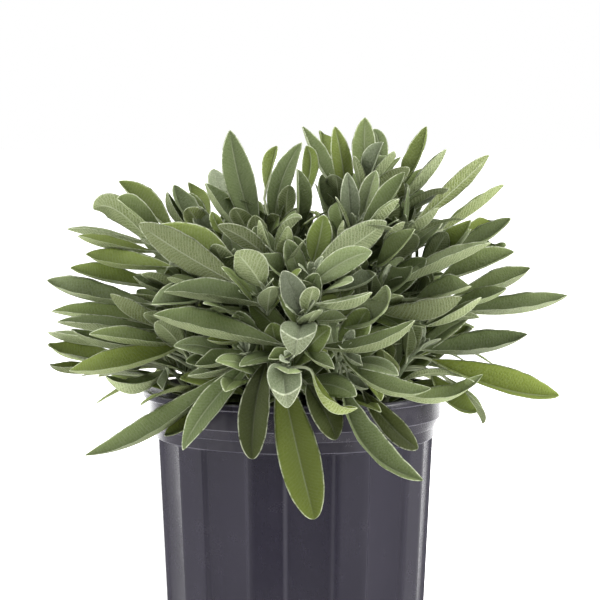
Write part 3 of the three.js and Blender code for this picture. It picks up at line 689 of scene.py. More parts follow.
@dataclass(frozen=True)
class SoilFinish:
    """Moist potting mix: dark brown, lighter where it is dry."""

    name: str = "potting_mix"
    moist: Triple = (0.012, 0.008, 0.005)
    dry: Triple = (0.055, 0.036, 0.022)
    grains: float = 900.0

    def material(self, effects: Effects) -> bpy.types.Material:
        """The material.

        Args:
            effects: the shared effects.

        Returns:
            The material.
        """
        paint = Paint(self.name)
        place = paint.place()
        patches = paint.effect(effects.mottle, "Mask", Place=place, Patches=120.0)
        grain = paint.effect(effects.grain, "Height", Place=place, Grains=self.grains)
        colour = paint.tint(patches * 0.7 + grain * 0.3, self.moist, self.dry)
        paint.bump(grain, 0.0008)
        return paint.coat(Base_Color=colour, Roughness=0.85 + grain * 0.1)


# Pot.


@dataclass(frozen=True)
class Corner:
    """A corner of the pot's profile: place and rounding in mm, share of the flutes and how much highlight is
    painted on it.
    """

    radius: float
    height: float
    rounding: float = 0.3
    fluted: float = 0.0
    rubbed: float = 0.0


@dataclass
class Pot:
    """Ribbed nursery pot with a stepped collar and a thick lip. Sizes in mm, bearings from the front."""

    height: float = 170
    lip_radius: float = 84.6
    lip_thickness: float = 4
    mouth_radius: float = 80.6
    upper_band: Pair = (155, 81.2)
    lower_band: Triple = (149.5, 78, 80.2)
    collar: Pair = (143.5, 77.5)
    body_top_radius: float = 77
    body_base_radius: float = 70.2
    foot: Pair = (68, 3)
    flute_depth: float = 2
    flute_hollow: float = 0.25
    floor_thickness: float = 2
    wall: float = 1.6
    wall_bend: float = 147
    ribs: int = 10
    first_rib: float = 24
    rib_half: float = 6.8
    rib_edge: float = 2.6
    rib_painted_highlight: float = 0.12
    rib_steps: int = 6
    edge_steps: int = 5
    flute_steps: int = 10
    arc_steps: int = 4

    def wall_inside(self, height: float) -> float:
        """The inner radius of the wall, behind the flutes, at a height."""
        rise = (height - self.foot[1]) / (self.collar[0] - self.foot[1])
        outer = self.body_base_radius + rise * (self.body_top_radius - self.body_base_radius)
        return outer - self.flute_depth - self.wall

    def corners(self) -> list[Corner]:
        """The profile, from the middle of the underside round the lip to the middle of the floor inside."""
        upper, upper_radius = self.upper_band
        lower, lower_radius, lower_top = self.lower_band
        collar, collar_radius = self.collar
        lip_bottom = self.height - self.lip_thickness
        return [
            Corner(0, 0, 0),
            Corner(self.foot[0], 0, 0.8),
            Corner(self.body_base_radius, self.foot[1], 1.2, 1),
            Corner(self.body_top_radius, collar - 0.5, 0.5, 1),
            Corner(collar_radius, collar, 0.6, rubbed=0.7),
            Corner(collar_radius, lower, 0.25),
            Corner(lower_radius, lower, 0.6, rubbed=0.5),
            Corner(lower_top, upper, 0.25),
            Corner(upper_radius, upper, 0.6, rubbed=1.0),
            Corner(upper_radius, lip_bottom, 0.4),
            Corner(self.lip_radius, lip_bottom, 0.8, rubbed=1.0),
            Corner(self.lip_radius, self.height, 1.4, rubbed=0.6),
            Corner(self.mouth_radius, self.height, 1.2),
            Corner(self.wall_inside(self.wall_bend), self.wall_bend, 2),
            Corner(self.wall_inside(self.floor_thickness), self.floor_thickness, 3),
            Corner(0, self.floor_thickness, 0),
        ]

    def profile(self) -> list[tuple[float, ...]]:
        """The profile with its corners rounded: radius, height, share of the flutes and how much highlight is
        painted there.
        """
        corners = self.corners()
        made = [(corners[0].radius, corners[0].height, 0.0, 0.0)]
        for before, here, after in zip(corners, corners[1:], corners[2:]):
            made.extend(self.rounded(before, here, after))
        made.append((corners[-1].radius, corners[-1].height, 0.0, 0.0))
        return made

    def rounded(self, before: Corner, here: Corner, after: Corner) -> list[tuple[float, ...]]:
        """A small arc that takes the place of one corner, with the most painted highlight in its middle.

        Args:
            before: the corner before it.
            here: the corner.
            after: the corner after it.

        Returns:
            The arc's points, as profile() gives them.
        """
        middle = Vector((here.radius, here.height, here.fluted))
        ends = []
        for other in (before, after):
            way = Vector((other.radius - here.radius, other.height - here.height))
            cut = min(here.rounding, 0.45 * way.length) / way.length
            ends.append(middle + cut * Vector((way.x, way.y, other.fluted - here.fluted)))
        first, last = ends
        arc = []
        for step in range(self.arc_steps + 1):
            t = step / self.arc_steps
            point = (1 - t) ** 2 * first + 2 * t * (1 - t) * middle + t * t * last
            arc.append((*point, here.rubbed * 4 * t * (1 - t)))
        return arc

    def columns(self) -> list[Triple]:
        """Lines down the wall: bearing, depth in a flute and the share of the radius that a flat face has."""
        period = 360 / self.ribs
        edge_start, edge_end = self.rib_half, self.rib_half + self.rib_edge
        flute_half = period / 2 - edge_end
        spans = (
            (-edge_start, 2 * edge_start, self.rib_steps),
            (edge_start, self.rib_edge, self.edge_steps),
            (edge_end, period - 2 * edge_end, self.flute_steps),
            (period - edge_end, self.rib_edge, self.edge_steps),
        )
        offsets = [start + width * k / steps for start, width, steps in spans for k in range(steps)]
        made = []
        for rib in range(self.ribs):
            for offset in offsets:
                from_rib = min(abs(offset), period - offset)
                rise = min(1.0, max(0.0, (from_rib - edge_start) / self.rib_edge))
                half, off = (edge_start, from_rib) if rise < 0.5 else (flute_half, period / 2 - from_rib)
                flat = math.cos(math.radians(half)) / math.cos(math.radians(min(half, off)))
                depth = rise * rise * (3 - 2 * rise)
                if rise == 1.0:
                    depth += self.flute_hollow * max(0.0, 1 - (off / half) ** 2)
                made.append((self.first_rib + rib * period + offset, depth, flat))
        return made

    def build(self, effects: Effects) -> None:
        """Makes the pot, dresses it and lets it stand for its CAD node.

        Args:
            effects: the shared effects.
        """
        columns = self.columns()
        start, *rings, end = self.profile()
        points, rubbed = [Vector((0, 0, start[1]))], [0.0]
        for radius, height, fluted, edge in rings:
            for bearing, depth, flat in columns:
                angle = math.radians(bearing)
                reach = radius * (1 - fluted * (1 - flat)) - self.flute_depth * depth * fluted
                points.append(Vector((reach * math.sin(angle), -reach * math.cos(angle), height)))
                # Painted highlight: the ledge corner's own, or a little on the flank of a rib.
                rubbed.append(max(edge, self.rib_painted_highlight * fluted * 4 * depth * (1 - depth)))
        points.append(Vector((0, 0, end[1])))
        rubbed.append(0.0)
        mesh = mesh_of("pot_shell", [MM * p for p in points], ring_faces(len(columns), len(rings)))
        mesh.attributes.new("rubbed", "FLOAT", "POINT").data.foreach_set("value", rubbed)
        mesh.materials.append(PlasticFinish().material(effects))
        declare(link_object("pot_shell", mesh), "pot_plastic", "pot")


# Soil.


@dataclass
class PottingSoil:
    """Potting mix that fills the pot to a little under its lip, with crumbs of bark. Sizes in mm."""

    pot: Pot
    gap: float = 0.3
    edge_height: float = 147
    mound: float = 2
    sides: int = 144
    rings: int = 44
    roughness: float = 1.6
    bump_size: float = 9
    crumbs_per_cm2: float = 2.6
    crumb_size: float = 3.4
    crumb_scales: Pair = (0.35, 1.0)
    crumb_turns: tuple[Triple, Triple] = ((-0.5, -0.5, 0.0), (0.5, 0.5, 6.28))
    crumb_clear: float = 4
    crumb_rings: int = 8
    crumb_sides: int = 24
    seed: int = 7

    def surface(self, radius: float, angle: float, share: float) -> Vector:
        """A point of the surface.

        Args:
            radius: how far it is from the axis.
            angle: its bearing, in radians.
            share: its share of the way out to the wall.

        Returns:
            The point.
        """
        x, y = radius * math.cos(angle), radius * math.sin(angle)
        rough = noise.fractal(Vector((x, y, 0)) / self.bump_size, 0.8, 2.1, 4)
        height = self.edge_height + self.mound * (1 - share * share) + self.roughness * rough * (1 - share**8)
        return Vector((x, y, height))

    def build(self, effects: Effects) -> None:
        """Makes the soil and lets it stand for its CAD node.

        Args:
            effects: the shared effects.
        """
        bottom = self.pot.floor_thickness + self.gap
        foot = self.pot.wall_inside(bottom) - self.gap
        edge = self.pot.wall_inside(self.edge_height) - self.gap
        angles = [2 * math.pi * k / self.sides for k in range(self.sides)]
        points = [Vector((0, 0, bottom))]
        points += [Vector((foot * math.cos(angle), foot * math.sin(angle), bottom)) for angle in angles]
        for ring in range(self.rings, 0, -1):
            share = ring / self.rings
            points += [self.surface(edge * share, angle, share) for angle in angles]
        points.append(self.surface(0, 0, 0))
        mesh = mesh_of("potting_mix", [MM * p for p in points], ring_faces(self.sides, self.rings + 1))
        mesh.materials.append(SoilFinish().material(effects))
        declare(link_object("potting_mix", mesh), "potting_soil", "soil")

    def crumb(self) -> bpy.types.Object:
        """A bark crumb, a rough flat block about 1 mm in size, which the tree scales."""
        under = ((-1, -0.6, -0.2), (0.9, -0.7, -0.3), (1.1, 0.5, -0.2), (-0.8, 0.7, -0.3))
        upper = ((-0.7, -0.4, 0.3), (0.8, -0.5, 0.2), (0.7, 0.6, 0.3), (-1, 0.4, 0.2))
        points = [MM * Vector(p) for p in under + upper]
        faces = ((0, 3, 2, 1), (4, 5, 6, 7), (0, 1, 5, 4), (1, 2, 6, 5), (2, 3, 7, 6), (3, 0, 4, 7))
        return link_object("crumb_form", mesh_of("crumb_form", points, faces))

    def scatter_tree(self) -> bpy.types.NodeTree:
        """The tree that strews crumbs over a surface."""
        tree = bpy.data.node_groups.new("Bark crumbs", "GeometryNodeTree")
        ports = [
            Port("Geometry", "NodeSocketGeometry"),
            Port("Crumb", "NodeSocketObject"),
            Port("Density", "NodeSocketFloat", 1.0),
            Port("Size", "NodeSocketFloat", 1.0),
            Port("Seed", "NodeSocketInt", 0),
            Port("Finish", "NodeSocketMaterial"),
        ]
        inputs = open_tree(tree, ports, [Port("Geometry", "NodeSocketGeometry")])
        graph = GrowthGraph(tree)
        given = {name: Term(graph, socket) for name, socket in inputs.items()}
        spread = {"Mesh": given["Geometry"], "Density": given["Density"], "Seed": given["Seed"]}
        points = graph.made("GeometryNodeDistributePointsOnFaces", spread, "Points")
        crumb = graph.made("GeometryNodeObjectInfo", {"Object": given["Crumb"]}, "Geometry")
        turns = {"Min": self.crumb_turns[0], "Max": self.crumb_turns[1], "Seed": given["Seed"]}
        turn = graph.made("FunctionNodeRandomValue", turns, 0, data_type="FLOAT_VECTOR")
        sizes = {2: self.crumb_scales[0], 3: self.crumb_scales[1], "Seed": 3}
        size = graph.made("FunctionNodeRandomValue", sizes, 1, data_type="FLOAT")
        placed = {
            "Points": points,
            "Instance": crumb,
            "Rotation": graph.made("FunctionNodeEulerToRotation", {0: turn}),
            "Scale": size * given["Size"],
        }
        strewn = graph.made("GeometryNodeInstanceOnPoints", placed)
        real = graph.made("GeometryNodeRealizeInstances", {"Geometry": strewn})
        coated = graph.made("GeometryNodeSetMaterial", {"Geometry": real, "Material": given["Finish"]})
        graph.feed(graph.node("NodeGroupOutput").inputs["Geometry"], coated)
        return tree

    def strew(self, effects: Effects) -> None:
        """Strews the crumbs over the surface.

        Args:
            effects: the shared effects.
        """
        wall = self.pot.wall_inside(self.edge_height)
        reach, count = wall - self.crumb_clear, self.crumb_sides
        points, faces = [self.surface(0, 0, 0)], []
        for ring in range(1, self.crumb_rings + 1):
            radius = reach * ring / self.crumb_rings
            points += [self.surface(radius, 2 * math.pi * k / count, radius / wall) for k in range(count)]
        for k in range(count):
            following = (k + 1) % count
            faces.append((0, 1 + k, 1 + following))
            for start in range(1, 1 + (self.crumb_rings - 1) * count, count):
                faces.append((start + k, start + count + k, start + count + following, start + following))
        piece = link_object("bark_crumbs", mesh_of("crumb_ground", [MM * p for p in points], faces))
        crumb = self.crumb()
        bark = SoilFinish("bark", (0.028, 0.016, 0.009), (0.095, 0.058, 0.034), 500.0)
        settings = {
            "Crumb": crumb,
            "Density": self.crumbs_per_cm2 * 1e4,
            "Size": self.crumb_size,
            "Seed": self.seed,
            "Finish": bark.material(effects),
        }
        grow(piece, self.scatter_tree(), settings)
        bpy.data.objects.remove(crumb)
        declare(piece, "potting_soil")


# Foliage.


class Tone(Enum):
    """How felted, how warm and how light a leaf is. The lightness is partly the leaf's own tone and partly
    painted light and shade for where it stands, so the shaded tones are painted darker as if in shade.
    """

    YOUNG = (0.80, 0.05, 1.35)
    PALE = (0.25, 0.40, 1.20)
    FAWN = (0.12, 0.55, 0.68)
    GREY = (0.48, 0.10, 0.92)
    SOFT = (0.22, 0.30, 1.22)
    MID = (0.12, 0.40, 1.20)
    DARK = (0.08, 0.28, 0.86)
    FRESH = (0.02, 0.65, 1.18)
    OLIVE = (0.05, 0.80, 1.10)
    YELLOW = (0.02, 1.00, 1.18)
    DEEP = (0.05, 0.40, 1.05)
    # Painted shade: a lush green made darker, as if it hung in shade.
    LUSH = (0.00, 1.00, 0.52)
    SHADED = (0.00, 0.90, 0.24)
    ASH = (0.85, 0.00, 0.58)


# A leaf whose turn is in one of these ranges shows both of its halves, and is a deep V: the range in degrees,
# how much further it is turned, how far its keel lies under the reading, as a share of its width, and how
# much wider it is than what is seen.
DEEP_TURNS = ((30, 65, 20, 0.30, 1.32), (120, 146, -48, 0.34, 1.25))
DEEP_FOLD = 0.9

# The power of a leaf's outline, by its length in widths: its range, its start and its slope. A leaf that is
# skewed further than BLUNT_FROM is blunt, and has less.
OUTLINE_RANGE = (0.6, 0.82)
OUTLINE_START = 0.44
OUTLINE_SLOPE = 0.075
BLUNT_FROM = 1.2
BLUNTED = 0.18


@dataclass(frozen=True)
class Row:
    """A leaf read from the front: three points, each across, up and toward, then its width, turn and fold."""

    tip: Triple
    middle: Triple
    heel: Triple
    width: float
    turn: float
    tone: Tone
    fold: float = 0.28
    skew: float = 1.05
    cup: float = 2.0

    def folded(self) -> tuple[float, float, float, float]:
        """Its turn, fold and width as it stands, and how far its keel lies under the reading."""
        for start, end, more, drop, widen in DEEP_TURNS:
            if start <= self.turn <= end:
                return self.turn + more, DEEP_FOLD, widen * self.width, drop * self.width
        return self.turn, self.fold, self.width, 0.0


@dataclass
class Leaf:
    """A leaf as it stands: points in mm, and what its blade is like."""

    tip: Vector
    middle: Vector
    heel: Vector
    root: Vector
    normal: Vector
    width: float
    fold: float
    tone: Triple
    placed: bool
    skew: float = 1.05
    cup: float = 2.0

    def roundness(self) -> float:
        """The power of its outline: lower for a blunt leaf, higher for a slender one, whose tip is sharp."""
        least, most = OUTLINE_RANGE
        slenderness = (self.tip - self.heel).length / self.width
        blunted = BLUNTED if self.skew > BLUNT_FROM else 0.0
        return min(most, max(least, OUTLINE_START + OUTLINE_SLOPE * slenderness)) - blunted


@dataclass(frozen=True)
class Plan:
    """A leaf that follows the rule: its place on the stem, angles in degrees, and size."""

    at: float
    angle: float
    lean: float
    length: float
    width: float


class Stem:
    """A stem's centre line over the soil, in mm: straight up at first, then leaning out to its tip."""

    START = 151.0
    UPRIGHT = 0.3
    ACROSS = 0.5
    RISE = 0.72
    FOOT_RADIUS = 2.4
    TIP_RADIUS = 1.3
    DEPTH = 20.0
    ROOT_PLACES = tuple(step / 100 for step in range(5, 99))
    LOWEST_ROOT = 0.04
    STALK_SLOPE = 0.45

    def __init__(self, foot: Vector, tip: Vector) -> None:
        """Sets the four points of the curve."""
        start = Vector((foot.x, foot.y, self.START))
        rise = tip.z - self.START
        above = Vector((foot.x, foot.y, self.START + self.UPRIGHT * rise))
        bend = start.lerp(tip, self.ACROSS)
        bend.z = self.START + self.RISE * rise
        self.points = (start, above, bend, tip)

    def at(self, t: float) -> Vector:
        """The point at a share of the curve."""
        a, b, c, d = self.points
        s = 1 - t
        return s**3 * a + 3 * s * s * t * b + 3 * s * t * t * c + t**3 * d

    def ahead(self, t: float) -> Vector:
        """The direction at a share of the curve."""
        a, b, c, d = self.points
        s = 1 - t
        return (s * s * (b - a) + 2 * s * t * (c - b) + t * t * (d - c)).normalized()

    def radius(self, t: float) -> float:
        """The stem's radius at a share of the curve."""
        return self.FOOT_RADIUS + t * (self.TIP_RADIUS - self.FOOT_RADIUS)

    def root_for(self, heel: Vector) -> Vector:
        """Where the stalk of a leaf leaves the stem: under the point that is nearest to its heel."""
        nearest = min(self.ROOT_PLACES, key=lambda t: (self.at(t) - heel).length)
        length = (self.points[0] - self.points[3]).length
        lower = nearest - self.STALK_SLOPE * (self.at(nearest) - heel).length / length
        return self.at(max(self.LOWEST_ROOT, lower))


@dataclass(frozen=True)
class Eye:
    """The eye that the front leaves were read from, in mm, with the level that they were read over."""

    across: float = 2.8
    away: float = 1280
    up: float = 154
    level: float = 167.5
    up_scale: float = 0.981

    def place(self) -> Vector:
        """Where the eye is."""
        return Vector((self.across, -self.away, self.level + self.up))

    def seen(self, point: Sequence[float]) -> Vector:
        """A point given as mm across and up at the axis, and toward the eye."""
        across, up, toward = point
        up *= self.up_scale if up > 0 else 1.0
        share = toward / self.away
        x = across + (self.across - across) * share
        return Vector((x, -toward, self.level + up + (self.up - up) * share))


EYE = Eye()


@dataclass(frozen=True)
class Shoot:
    """A shoot at the front: its tip as Eye.seen takes it, its foot across and toward, and its leaves."""

    tip: Triple
    foot: Pair
    rows: tuple[Row, ...]


T = Tone
FRONT_SHOOTS = {
    "front_centre": Shoot((3, 44, 80), (3, 37), (
        Row((-7, 69, 90), (0, 56, 88), (4, 44, 82), 14, 10, T.ASH),
        Row((10, 60, 90), (8, 53, 86), (6, 45, 82), 11, 150, T.PALE),
        Row((0, 21, 104), (2, 34, 97), (3, 38, 82), 19, 5, T.GREY, 0.5, 1.1, 0.70),
        Row((43, 57, 88), (30, 52, 88), (13, 50, 82), 11, 130, T.PALE),
        Row((29, 42, 84), (21, 43, 82), (11, 42, 78), 9, 35, T.SOFT),
        Row((67, 41, 98), (45, 29, 96), (14, 26, 84), 13, 50, T.DARK, 0.4),
        Row((-79, 44, 82), (-50, 38, 86), (-8, 27, 82), 17, 45, T.DARK, 0.4),
        Row((22, 13, 98), (14, 19, 94), (7, 23, 86), 9, 30, T.MID),
        Row((-15, 19, 96), (-9, 22, 92), (-2, 24, 86), 8, 30, T.MID),
    )),
    "front_low": Shoot((-3, 18, 90), (-5, 50), (
        Row((-4, -9, 112), (-6, 7, 109), (-5, 14, 94), 18, 10, T.GREY, 0.45, 1.05, 0.80),
        Row((-24, -38, 108), (-22, -8, 104), (-16, 17, 88), 16, 12, T.SHADED, 0.4, 1.35),
        Row((11, -72, 110), (0, -30, 106), (-8, 12, 97), 22, 6, T.LUSH, 0.15, 1.4),
        Row((23, -27, 102), (17, -12, 102), (7, 4, 90), 16, 15, T.SHADED),
        Row((35, -9, 108), (22, -7, 106), (10, 10, 92), 11, 130, T.YELLOW),
    )),
    "front_left": Shoot((-17, 58, 70), (-12, 35), (
        Row((-33, 80, 78), (-25, 70, 78), (-18, 60, 72), 19, 160, T.PALE),
        Row((-87, 96, 42), (-61, 78, 54), (-29, 60, 62), 20, 150, T.FAWN),
        Row((-73, 57, 66), (-45, 57, 70), (-18, 50, 70), 16, 45, T.DARK, 0.4),
        Row((-71, 65, 50), (-61, 64, 52), (-44, 58, 54), 10, 60, T.MID),
        Row((-49, 30, 74), (-38, 31, 74), (-24, 32, 70), 10, 40, T.OLIVE),
    )),
    "low_left": Shoot((-27, 22, 76), (-20, 45), (
        Row((-118, -36, 62), (-80, -20, 78), (-39, 10, 76), 15, 40, T.DARK),
        Row((-73, -24, 76), (-59, -15, 80), (-42, 0, 74), 12, 35, T.LUSH),
        Row((-63, -33, 90), (-47, -8, 92), (-24, 17, 82), 15, 25, T.DARK),
        Row((-56, 15, 82), (-43, 19, 80), (-28, 23, 76), 12, 45, T.DARK),
        Row((-60, 9, 74), (-47, 12, 74), (-34, 15, 72), 9, 50, T.SOFT),
    )),
    "low_right": Shoot((27, 24, 82), (16, 46), (
        Row((72, -50, 98), (43, -29, 102), (26, 6, 90), 14, 30, T.DARK),
        Row((69, -32, 84), (56, -20, 88), (38, 0, 80), 13, 25, T.SHADED),
        Row((76, 2, 92), (52, 4, 94), (26, 21, 84), 14, 42, T.MID, 0.4),
        Row((105, 10, 62), (76, -2, 76), (42, 10, 72), 13, 45, T.MID, 0.4),
        Row((41, 2, 88), (35, 5, 86), (29, 11, 82), 8, 40, T.GREY),
        Row((38, 15, 94), (33, 19, 91), (28, 23, 86), 8, 40, T.GREY),
    )),
    "front_right": Shoot((9, 66, 62), (8, 25), (
        Row((16, 101, 54), (14, 87, 54), (10, 74, 56), 14, 8, T.FRESH),
        Row((51, 97, 60), (31, 84, 62), (9, 67, 62), 18, 152, T.SOFT),
        Row((43, 80, 76), (26, 73, 74), (8, 60, 68), 15, 25, T.SOFT),
        Row((45, 68, 66), (37, 65, 66), (24, 58, 62), 11, 40, T.GREY),
        Row((50, 61, 78), (45, 49, 78), (26, 38, 70), 17, 32, T.PALE),
    )),
    "centre": Shoot((-9, 76, 46), (-5, 18), (
        Row((4, 99, 50), (-6, 95, 48), (-11, 78, 46), 11, 140, T.PALE),
        Row((-20, 98, 50), (-17, 88, 49), (-13, 78, 46), 9, 65, T.PALE),
        Row((-43, 95, 56), (-28, 87, 55), (-14, 76, 50), 12, 155, T.FAWN),
        Row((-2, 89, 38), (0, 78, 40), (-2, 66, 42), 14, 15, T.DARK),
        Row((-18, 79, 60), (-11, 74, 58), (-5, 66, 52), 11, 30, T.SOFT),
    )),
    "crown_left": Shoot((-23, 88, 18), (-13, 8), (
        Row((-36, 149, 10), (-31, 119, 16), (-20, 86, 20), 17, 12, T.DARK),
        Row((-50, 119, 16), (-39, 105, 18), (-27, 91, 20), 14, 40, T.SOFT),
        Row((-46, 103, 30), (-43, 94, 30), (-34, 82, 26), 8, 25, T.FRESH),
        Row((-45, 127, -4), (-43, 117, 0), (-36, 100, 6), 11, 10, T.YOUNG),
    )),
    "crown": Shoot((-6, 98, 2), (-3, -1), (
        Row((4, 142, 4), (-7, 118, 8), (-11, 92, 8), 14, 25, T.DARK),
        Row((6, 140, -12), (8, 128, -10), (3, 106, -4), 10, 20, T.FRESH),
        Row((-10, 140, -22), (-14, 131, -18), (-16, 116, -10), 8, 30, T.OLIVE),
        Row((1, 127, 22), (5, 111, 22), (2, 94, 16), 11, 35, T.DARK),
    )),
    "crown_right": Shoot((28, 108, -14), (8, -3), (
        Row((4, 151, -28), (14, 133, -22), (24, 113, -16), 11, 35, T.MID),
        Row((15, 148, -42), (18, 141, -38), (22, 122, -26), 10, 30, T.OLIVE),
        Row((22, 151, -8), (26, 131, -6), (29, 108, -8), 12, 20, T.OLIVE),
        Row((15, 124, 2), (18, 114, 0), (24, 100, -6), 13, 30, T.PALE),
    )),
    "top_right": Shoot((40, 114, 4), (20, 3), (
        Row((39, 156, -8), (38, 138, -4), (39, 118, 0), 14, 12, T.MID),
        Row((43, 149, -26), (47, 140, -22), (47, 120, -10), 11, 25, T.DARK),
        Row((49, 142, 12), (42, 133, 12), (40, 117, 8), 11, 35, T.GREY),
        Row((56, 134, 22), (47, 130, 20), (41, 115, 12), 13, 125, T.SOFT),
    )),
    "upper_right": Shoot((33, 92, 34), (16, 14), (
        Row((29, 125, 32), (30, 108, 34), (32, 92, 34), 11, 12, T.GREY, 0.45),
        Row((45, 126, 28), (42, 113, 30), (37, 97, 32), 11, 15, T.SOFT, 0.45),
        Row((61, 125, 30), (50, 111, 34), (37, 92, 36), 12, 35, T.DARK),
        Row((58, 110, 44), (47, 102, 44), (36, 90, 40), 11, 130, T.PALE),
        Row((27, 98, 46), (27, 89, 44), (28, 80, 38), 10, 60, T.PALE),
    )),
    "right_high": Shoot((58, 108, 2), (29, -2), (
        Row((73, 151, -8), (65, 133, -4), (57, 115, 0), 11, 35, T.OLIVE),
        Row((84, 138, 2), (72, 126, 4), (61, 111, 4), 13, 140, T.PALE),
        Row((66, 106, 8), (64, 100, 8), (60, 90, 6), 8, 40, T.DARK),
    )),
    "right_upper": Shoot((62, 90, 22), (28, 9), (
        Row((108, 135, -2), (91, 119, 8), (66, 96, 18), 12, 150, T.OLIVE),
        Row((80, 105, 38), (70, 98, 36), (62, 91, 28), 11, 135, T.PALE),
        Row((61, 97, 46), (54, 91, 42), (54, 82, 32), 12, 140, T.PALE),
        Row((67, 93, 54), (55, 83, 52), (46, 72, 40), 13, 32, T.MID),
    )),
    "right_outer": Shoot((80, 80, 10), (40, 2), (
        Row((116, 118, 0), (99, 108, 6), (82, 93, 10), 13, 135, T.FRESH),
        Row((98, 98, 24), (88, 88, 24), (78, 78, 18), 13, 30, T.FRESH),
        Row((98, 93, 36), (93, 86, 34), (84, 76, 24), 8, 75, T.PALE),
        Row((111, 98, -18), (104, 95, -14), (88, 86, 0), 10, 40, T.YELLOW),
        Row((120, 99, 6), (104, 89, 10), (86, 80, 12), 12, 40, T.MID),
        Row((113, 85, -14), (108, 82, -10), (92, 74, 0), 11, 30, T.MID),
    )),
    "right_mid": Shoot((50, 60, 50), (26, 26), (
        Row((109, 85, 38), (82, 76, 46), (56, 62, 48), 14, 125, T.PALE),
        Row((65, 72, 62), (58, 66, 60), (48, 57, 54), 13, 30, T.DARK),
        Row((98, 60, 54), (86, 60, 54), (68, 53, 48), 13, 35, T.MID),
        Row((93, 54, 68), (73, 48, 66), (48, 46, 56), 17, 145, T.FAWN),
    )),
    "right_side": Shoot((80, 50, 26), (42, 16), (
        Row((122, 80, 20), (102, 74, 26), (80, 63, 28), 13, 35, T.MID),
        Row((131, 71, 4), (114, 63, 12), (88, 54, 20), 14, 45, T.MID),
        Row((152, 55, 10), (124, 50, 18), (86, 47, 22), 15, 45, T.MID),
        Row((118, 59, 34), (104, 55, 34), (84, 48, 30), 11, 45, T.MID),
        Row((104, 54, 48), (90, 46, 46), (74, 38, 38), 10, 125, T.PALE),
    )),
    "right_low": Shoot((68, 24, 34), (46, 30), (
        Row((96, 38, 8), (90, 36, 12), (78, 31, 22), 11, 30, T.FRESH),
        Row((130, 33, 24), (104, 27, 30), (72, 24, 34), 15, 38, T.DARK),
        Row((148, -2, 30), (118, 6, 36), (76, 18, 36), 16, 30, T.YELLOW, 0.4),
        Row((102, -11, 38), (89, -3, 38), (76, 10, 34), 14, 35, T.OLIVE),
        Row((105, -18, 22), (101, -6, 24), (84, 8, 28), 8, 60, T.PALE),
    )),
    "left_high": Shoot((-50, 88, 8), (-25, 1), (
        Row((-71, 114, 6), (-67, 103, 8), (-57, 91, 10), 9, 55, T.DARK),
        Row((-67, 118, 0), (-60, 105, 4), (-51, 91, 8), 12, 30, T.SOFT, 0.4),
        Row((-58, 119, -20), (-54, 110, -14), (-48, 96, -4), 11, 35, T.OLIVE),
        Row((-54, 106, 20), (-52, 98, 19), (-49, 89, 14), 10, 10, T.YOUNG),
    )),
    "left_upper": Shoot((-70, 82, 2), (-37, 3), (
        Row((-98, 120, -20), (-83, 109, -14), (-68, 92, -4), 13, 35, T.OLIVE),
        Row((-112, 104, 4), (-98, 104, 6), (-77, 82, 6), 16, 150, T.PALE),
        Row((-99, 110, -4), (-87, 104, -2), (-73, 88, 2), 12, 40, T.MID),
        Row((-127, 93, -2), (-108, 91, 0), (-82, 85, 2), 9, 65, T.PALE),
        Row((-121, 89, 10), (-104, 86, 12), (-80, 80, 10), 11, 50, T.OLIVE),
    )),
    "left_outer": Shoot((-64, 64, 26), (-34, 10), (
        Row((-116, 79, 16), (-98, 76, 22), (-69, 71, 26), 14, 45, T.OLIVE, 0.4),
        Row((-125, 71, 8), (-105, 67, 16), (-76, 60, 20), 13, 42, T.FRESH),
        Row((-90, 66, 34), (-79, 62, 34), (-66, 58, 30), 12, 40, T.DARK),
        Row((-80, 50, 56), (-67, 55, 54), (-56, 52, 44), 14, 30, T.SOFT),
    )),
    "left_mid": Shoot((-36, 72, 42), (-20, 22), (
        Row((-81, 93, 30), (-57, 87, 38), (-36, 77, 42), 16, 38, T.OLIVE),
    )),
    "left_side": Shoot((-68, 42, 28), (-40, 18), (
        Row((-138, 64, 6), (-116, 58, 14), (-80, 50, 24), 14, 42, T.SOFT),
        Row((-103, 56, 44), (-88, 47, 42), (-66, 36, 36), 14, 145, T.FAWN),
        Row((-136, 46, 14), (-110, 46, 22), (-74, 40, 26), 13, 42, T.MID),
        Row((-133, 40, 28), (-107, 39, 32), (-72, 35, 32), 12, 50, T.DARK),
    )),
    "left_low": Shoot((-64, 26, 36), (-44, 32), (
        Row((-138, 34, -6), (-122, 31, 4), (-90, 26, 18), 10, 55, T.PALE),
        Row((-125, 36, 12), (-106, 29, 18), (-78, 24, 26), 10, 55, T.DARK),
        Row((-115, 33, 40), (-92, 32, 42), (-66, 27, 38), 12, 45, T.MID),
        Row((-126, 12, 46), (-99, 18, 50), (-62, 27, 42), 17, 38, T.OLIVE, 0.4),
    )),
    "left_lowest": Shoot((-72, 16, 14), (-52, 14), (
        Row((-137, 28, -2), (-122, 23, 4), (-88, 18, 12), 14, 40, T.OLIVE),
        Row((-137, 16, 12), (-122, 14, 14), (-86, 15, 14), 10, 60, T.LUSH),
        Row((-106, 9, 34), (-91, 5, 32), (-73, 12, 20), 16, 130, T.PALE),
        Row((-74, 1, 42), (-73, 7, 36), (-72, 13, 24), 7, 30, T.YOUNG),
    )),
}

# Rings of shoots at the back: height over the lip, distance from the axis, and bearings from the right.
BACK_RINGS = {
    "high": (84, 34, (40, 100, 150)),
    "middle": (58, 64, (24, 58, 92, 126, 158)),
    "low": (22, 72, (6, 38, 70, 104, 138, 172)),
}

# Pairs that follow the rule: place along the stem, length and width.
BACK_PAIRS = ((0.97, 27, 9), (0.88, 44, 13), (0.76, 58, 15), (0.62, 64, 16))
INNER_PAIRS = ((0.8, 40, 13), (0.6, 50, 15), (0.4, 46, 15))
FILL_PAIRS = ((0.8, 38, 15), (0.62, 44, 17), (0.45, 48, 18), (0.3, 46, 18), (0.15, 40, 16))
HIGH_FILL_PAIRS = ((0.96, 32, 12), (0.88, 42, 15), (0.72, 48, 18), (0.55, 50, 18))
HIGH_FILLED = ("crown", "top", "upper", "right_high", "right_upper", "left_high", "back")

